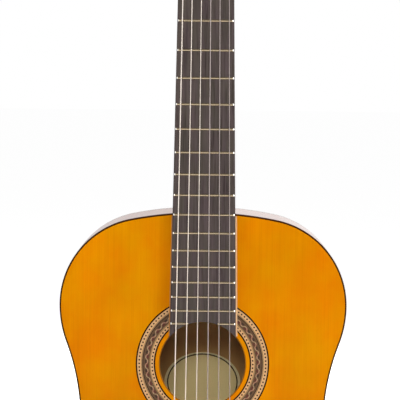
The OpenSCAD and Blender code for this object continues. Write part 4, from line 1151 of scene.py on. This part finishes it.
def fret_bar(name, half):
    """A crowned bar along X. Its ends slope: pairs of distance and share of the crown's height."""
    crown = [(-CROWN_H * math.sin(math.pi * k / CROWN_STEPS),
        CROWN_HALF * math.cos(math.pi * k / CROWN_STEPS)) for k in range(CROWN_STEPS + 1)]
    crown += [(SEAT, -CROWN_HALF), (SEAT, CROWN_HALF)]
    stations = [(-half + at * SLOPE, size) for at, size in BAR_END]
    stations += [(-x, size) for x, size in reversed(stations)]
    points = [(x, y * size if y < 0 else y, z * (1 - END_NARROW + END_NARROW * size))
        for x, size in stations for y, z in crown]
    return solid(name, points, bar_faces(len(stations), len(crown)), FRET_WIRE, 60)


def paint_end_glints(bars):
    """The sloped outer ends get a whiter copy of the nickel: a painted glint."""
    bars.data.materials.append(FRET_END_GLINT)
    for face in bars.data.polygons:
        outward = face.normal.x * math.copysign(1, face.center.x)
        face.material_index = int(outward > GLINT_FROM)
    return bars


fret_tree, fret_in, fret_out = new_tree("fret_rule", [("Bar", "Object"), ("Count", "Int"),
    ("String length", "Float"), ("Nut half", "Float"), ("Joint half", "Float"),
    ("Bar half", "Float"), ("Board face", "Float"), ("End inset", "Float")])


def rule(operation, a, b):
    """One sum of the fret rule."""
    return math_node(fret_tree, operation, a, b)


step = rule("ADD", add_node(fret_tree, "GeometryNodeInputIndex").outputs[0], 1.0)
share = rule("POWER", 2.0, rule("MULTIPLY", step, -1 / 12))
height = rule("MULTIPLY", fret_in["String length"], rule("SUBTRACT", share, 1.0))
down = rule("DIVIDE", rule("MULTIPLY", height, -2.0), fret_in["String length"])
spread = rule("SUBTRACT", fret_in["Joint half"], fret_in["Nut half"])
half_width = rule("ADD", fret_in["Nut half"], rule("MULTIPLY", spread, down))
inside = rule("SUBTRACT", half_width, fret_in["End inset"])
spot = add_node(fret_tree, "ShaderNodeCombineXYZ")
size = add_node(fret_tree, "ShaderNodeCombineXYZ", {"Y": 1, "Z": 1})
spots = add_node(fret_tree, "GeometryNodePoints")
bar_info = add_node(fret_tree, "GeometryNodeObjectInfo")
bars = add_node(fret_tree, "GeometryNodeInstanceOnPoints")
wire(fret_tree, (height, spot.inputs["Z"]), (fret_in["Board face"], spot.inputs["Y"]),
    (rule("DIVIDE", inside, fret_in["Bar half"]), size.inputs["X"]),
    (fret_in["Count"], spots.inputs["Count"]), (spot.outputs[0], spots.inputs["Position"]),
    (fret_in["Bar"], bar_info.inputs["Object"]), (spots.outputs[0], bars.inputs["Points"]),
    (bar_info.outputs["Geometry"], bars.inputs["Instance"]),
    (size.outputs[0], bars.inputs["Scale"]))
close_tree(fret_tree, bars.outputs[0], FRET_WIRE, fret_out)
pattern_bar = fret_bar("pattern_bar", BAR_HALF)
frets = grown("fret_row", fret_tree, {"Bar": pattern_bar, "Count": FRETS,
    "String length": SCALE * MM, "Nut half": NUT_HALF * MM, "Joint half": JOINT_HALF * MM,
    "Bar half": BAR_HALF * MM, "Board face": -BOARD_T * MM, "End inset": END_INSET * MM})
bpy.data.objects.remove(pattern_bar)
settle(paint_end_glints(frets), "fret_wire", "frets")

# %% [markdown]
# ### Last fret
# The soundhole cuts into the end of the board, so the nineteenth fret is two short pieces, one
# on each side. The tree above makes whole bars only, so these two are made by themselves, with
# the same section and the same rule for their height.

# %% Last fret
HOLE_CLEAR = 2.4
last_z = SCALE * (2 ** (-(FRETS + 1) / 12) - 1)
gap_half = math.sqrt(SCOOP ** 2 - (last_z - HOLE_Z) ** 2) + HOLE_CLEAR
last_half = (board_half(last_z) - END_INSET - gap_half) / 2
for label, side in (("bass", -1), ("treble", 1)):
    bar = fret_bar("last_fret_" + label, last_half)
    middle = Vector((side * (gap_half + last_half), -BOARD_T, last_z))
    bar.data.transform(Matrix.Translation(middle * MM))
    settle(paint_end_glints(bar), "fret_wire")

# %% [markdown]
# ## Strings
# Three strings are clear nylon and three are silk wrapped with fine silvered wire. Each runs
# from its knot at the bridge over the saddle and the nut to its roller. A bevelled curve would
# do for the shape, but a tube of our own also gets a UV map that unrolls it. The wrap of the
# bass strings is far too fine to model turn by turn, so it is relief that reads that map.

# %% Strings
STRINGS = range(1, 7)
SADDLE_Z, TIE_FRONT, TIE_BACK = -652.0, -661.5, -672.0
NUT_SPAN, SADDLE_SPAN, NUT_BED, SADDLE_H = 43, 58, 7.4, 12.6
KNOT_H, KNOT_SIDE, TIE_TURN_H, TIE_TURN_OUT, TIE_OUT, SHORT = 9.1, 2, 6, 0.5, 0.6, 0.4
TIE_LOW, TIE_CLIMB, TIE_FROM, TIE_LEN = 3.2, 2.4, -674, 14.5
STRING_D = [0.72, 0.82, 1.02, 0.74, 0.89, 1.10]
AT_ROLLER = [19.6, 15.0, 12.4, -12.4, -15.0, -19.6]
ROLLER_Z = [58.0, 93.0, 128.0, 128.0, 93.0, 58.0]
BEHIND_CROWN, ROLLER_TOP, TUBE_SHARE = Vector((0, 0.05, -1.2)), 4.9, 0.475


def head_point(x, y, z):
    """A point of the tilted head: y goes into the wood and z up the head."""
    c, s = math.cos(HEAD_TILT), math.sin(HEAD_TILT)
    return Vector((x, y * c + z * s, NUT_LEN - y * s + z * c))


def string_path(k):
    """The points that a string follows from the tie block to its roller."""
    r = STRING_D[k - 1] / 2
    nut_x, saddle_x = NUT_SPAN * (3.5 - k) / 5, SADDLE_SPAN * (3.5 - k) / 5

    def tie(z):
        return Vector((saddle_x, -TIE_LOW - TIE_CLIMB * (z - TIE_FROM) / TIE_LEN, z))

    crown = Vector((saddle_x, -SADDLE_H - r, SADDLE_Z))
    return [Vector((saddle_x + KNOT_SIDE, -KNOT_H - r, TIE_FRONT + SHORT)),
        Vector((saddle_x, -KNOT_H - r, TIE_BACK - SHORT)),
        Vector((saddle_x, -TIE_TURN_H, TIE_BACK - r - TIE_TURN_OUT)),
        tie(TIE_BACK - TIE_OUT), tie(TIE_FRONT + SHORT), crown + BEHIND_CROWN, crown,
        Vector((nut_x, -NUT_BED - r, 0)), Vector((nut_x, -NUT_BED - r, NUT_LEN)),
        head_point(AT_ROLLER[k - 1], ROLLER_TOP - r, ROLLER_Z[k - 1])]


def tube(name, points, thickness, material, sides=12):
    """A tube along points, just inside its solid, with a UV map of length in mm and turn."""
    rings, lengths, run, radius = [], [], 0.0, TUBE_SHARE * thickness
    for i, p in enumerate(points):
        before = (p - points[i - 1]).normalized() if i else Vector((0, 0, 0))
        after = (points[i + 1] - p).normalized() if i < len(points) - 1 else Vector((0, 0, 0))
        heading = (before + after).normalized()
        u = (Vector((1, 0, 0)) - heading.x * heading).normalized()
        v = heading.cross(u)
        rings += [p + radius * (u * math.cos(t) + v * math.sin(t)) for t in around(sides)]
        run += (p - points[i - 1]).length if i else 0
        lengths.append(run)
    piece = solid(name, rings, bar_faces(len(points), sides), material, 80)
    unroll = piece.data.uv_layers.new(name="along")
    for loop in piece.data.loops:
        row, turn = divmod(loop.vertex_index, sides)
        unroll.data[loop.index].uv = (lengths[row], turn / sides)
    return piece


def wrapped_wire():
    """Silvered wire round silk: fine ridges across the string."""
    mat, tree, shader = finish("wound_silver", 0.34, Metallic=0.2)
    unrolled = add_node(tree, "ShaderNodeUVMap", uv_map="along")
    wave = add_node(tree, "ShaderNodeTexWave", {"Scale": 1.4, "Distortion": 0.3},
        wave_type="BANDS", bands_direction="X")
    ridge = wave.outputs["Fac"]
    colour = ramp(tree, ridge, tones((0.0, 1.0), (254, 236, 222), (255, 246, 234)))
    wire(tree, (unrolled.outputs[0], wave.inputs["Vector"]), (colour, shader.inputs["Base Color"]))
    bump(tree, shader, ridge, 0.4, 0.08)
    return mat


WOUND = wrapped_wire()
for name, numbers, string_finish, slot, node in (
        ("strings_nylon", (1, 2, 3), NYLON, "nylon_string", "treble_strings"),
        ("strings_wound", (4, 5, 6), WOUND, "wound_string", "bass_strings")):
    tubes = [tube(f"string_{k}", string_path(k), STRING_D[k - 1], string_finish) for k in numbers]
    settle(merged(name, tubes), slot, node)

# %% [markdown]
# ## Head, bridge and small fittings
# The solids of the head, bridge, nut, saddle and machine plates already have the right shape.
# What they lack is the small round that sanding and polishing leave on every edge, and an
# edge without it looks like cardboard. So each is copied, its triangles are merged back into
# flat faces, and a bevel eases the sharp edges by a few tenths of a millimetre.

# %% Eased copies
COPY_WELD, FLAT = 2e-6, math.radians(0.5)


def eased_copy(node, ease, material, slot, body="guitar", angle=32, segments=2):
    """A copy of a CAD node with its edges eased, that stands for the node."""
    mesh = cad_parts[node].data.copy()
    with reshaping(mesh) as shape:
        bmesh.ops.remove_doubles(shape, verts=shape.verts, dist=COPY_WELD)
        bmesh.ops.dissolve_limit(shape, angle_limit=FLAT, verts=shape.verts, edges=shape.edges)
    mesh.materials.clear()
    mesh.materials.append(material)
    piece = bpy.data.objects.new(node + "_eased", mesh)
    scene.collection.objects.link(piece)
    return settle(eased_mesh(piece, ease, angle, segments), slot, node, body=body)


eased_copy("headstock", 0.6, NECK_WOOD, "neck_wood")
eased_copy("head_veneer", 0.3, VENEER, "veneer")
eased_copy("heel_cap", 0.4, VENEER, "veneer")
eased_copy("bridge", 0.4, BRIDGE_WOOD, "bridge_wood")
eased_copy("tie_trim", 0.15, TRIM, "tie_trim")
eased_copy("nut", 0.2, BONE, "bone")
eased_copy("saddle", 0.3, BONE, "bone")
eased_copy("bass_plate", 0.2, BRASS, "machine_plate")
eased_copy("treble_plate", 0.2, BRASS, "machine_plate")

# %% [markdown]
# ## Pieces that keep their solids
# Linings, blocks and braces are bare wood inside the box, and the screws, gears and worms are
# small and already exact. They could be copied as well, but nothing about their shape needs
# work, so they only get a finish.

# %% Finishes on solids
INSIDE = ("top_linings", "back_linings", "end_block", "harmonic_bars", "fan_braces", "back_braces")
in_place = {node: INNER_WOOD for node in INSIDE} | {"plate_screws": STEEL}
for k in STRINGS:
    in_place |= {f"gear_{k}": BRASS, f"worm_{k}": STEEL}
for node, node_finish in in_place.items():
    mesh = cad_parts[node].data
    mesh.materials.clear()
    mesh.materials.append(node_finish)
print("finished in place:", len(in_place))

# %% [markdown]
# ## Rollers of the tuning machines
# A roller is a bone-coloured sleeve on a steel core. It could be a cylinder with a bevel, but a
# lathe gives the round of each end its own size: a profile of position and radius is turned
# round the roller's axis. Sleeve and core turn with their post.

# %% Rollers
AXIS_Y, ROLLER_R, CORE_R, FIRST_BASS = 10, 5, 2.5, 4
SLEEVE = [(2.6, 0), (2.6, 4.4), (2.75, 4.8), (3.1, ROLLER_R), (35, ROLLER_R), (35.35, 4.85),
    (35.5, 4.5), (35.5, 0)]
CORE = [(35.0, 0), (35.0, CORE_R), (42.7, CORE_R), (42.7, 0)]


def side_of(k):
    """The side of the head that a string's machine is on: 1 is the treble side."""
    return 1 if k < FIRST_BASS else -1


def lathe(name, k, profile, material, steps=40):
    """A profile of position and radius, turned round a roller's axis. Turn 0 is the front."""
    up = ROLLER_Z[k - 1]
    points = [head_point(side_of(k) * x, AXIS_Y - r * math.cos(turn), up + r * math.sin(turn))
        for turn in around(steps) for x, r in profile]
    return solid(name, points, grid_faces(steps, len(profile), True, False), material, 40)


for k in STRINGS:
    sleeve = lathe(f"roller_sleeve_{k}", k, SLEEVE, BONE)
    settle(sleeve, "roller", f"roller_{k}", body=f"post_{k}")
    settle(lathe(f"roller_core_{k}", k, CORE, STEEL), "gear", body=f"post_{k}")

# %% [markdown]
# ### Turns of string
# The string winds onto its roller in neat turns, side by side. A screw modifier could make them
# too, but Geometry Nodes draw a spiral and sweep a round section along it, with a named input
# for each size. Strings 3 and 4 reach their rollers near the middle of the head, so their turns
# go outwards, and those of the other four go towards the middle.

# %% Windings
TURNS, TURN_GAP, TURN_LIFT, COIL_STEPS, COIL_SIDES, OUTWARDS = 4.6, 0.1, 0.02, 28, 8, (3, 4)
wind_tree, wind_in, wind_out = new_tree("string_turns", [("Turns", "Float"), ("Radius", "Float"),
    ("Rise", "Float"), ("Thickness", "Float"), ("Reverse", "Bool")])
coil = add_node(wind_tree, "GeometryNodeCurveSpiral", {"Resolution": COIL_STEPS})
wire_round = add_node(wind_tree, "GeometryNodeCurvePrimitiveCircle", {"Resolution": COIL_SIDES})
sweep = add_node(wind_tree, "GeometryNodeCurveToMesh", {"Fill Caps": True})
wire(wind_tree, (wind_in["Turns"], coil.inputs["Rotations"]),
    (wind_in["Radius"], coil.inputs["Start Radius"]),
    (wind_in["Radius"], coil.inputs["End Radius"]), (wind_in["Rise"], coil.inputs["Height"]),
    (wind_in["Reverse"], coil.inputs["Reverse"]),
    (wind_in["Thickness"], wire_round.inputs["Radius"]), (coil.outputs[0], sweep.inputs["Curve"]),
    (wire_round.outputs[0], sweep.inputs["Profile Curve"]))
close_tree(wind_tree, sweep.outputs[0], NYLON, wind_out)
head_y = head_point(0, 1, 0) - head_point(0, 0, 0)
for k in STRINGS:
    d, side, outward = STRING_D[k - 1], side_of(k), 1 if k in OUTWARDS else -1
    rise_axis = Vector((1, 0, 0)) * side * outward
    turns = grown(f"string_turns_{k}", wind_tree, {"Turns": TURNS,
        "Radius": (ROLLER_R + d / 2 + TURN_LIFT) * MM, "Rise": TURNS * (d + TURN_GAP) * MM,
        "Thickness": d / 2 * MM, "Reverse": side * outward > 0})
    spin = Matrix((-head_y, rise_axis.cross(-head_y), rise_axis)).transposed().to_4x4()
    on_axis = head_point(AT_ROLLER[k - 1], AXIS_Y, ROLLER_Z[k - 1])
    turns.data.transform(Matrix.Translation(on_axis * MM) @ spin)
    turns.data.materials[0] = NYLON if side > 0 else WOUND
    turns.data.shade_smooth()
    settle(turns, "nylon_string" if side > 0 else "wound_string", body=f"post_{k}")

# %% [markdown]
# ### Buttons
# The buttons are moulded in imitation pearl, with full round edges. Their solids are plain
# paddles, so they are eased copies with a wider bevel of three segments.

# %% Buttons
BUTTON_ROUND = 1.1
for k in STRINGS:
    eased_copy(f"button_{k}", BUTTON_ROUND, PEARL, "button", body=f"knob_{k}", angle=40,
        segments=3)
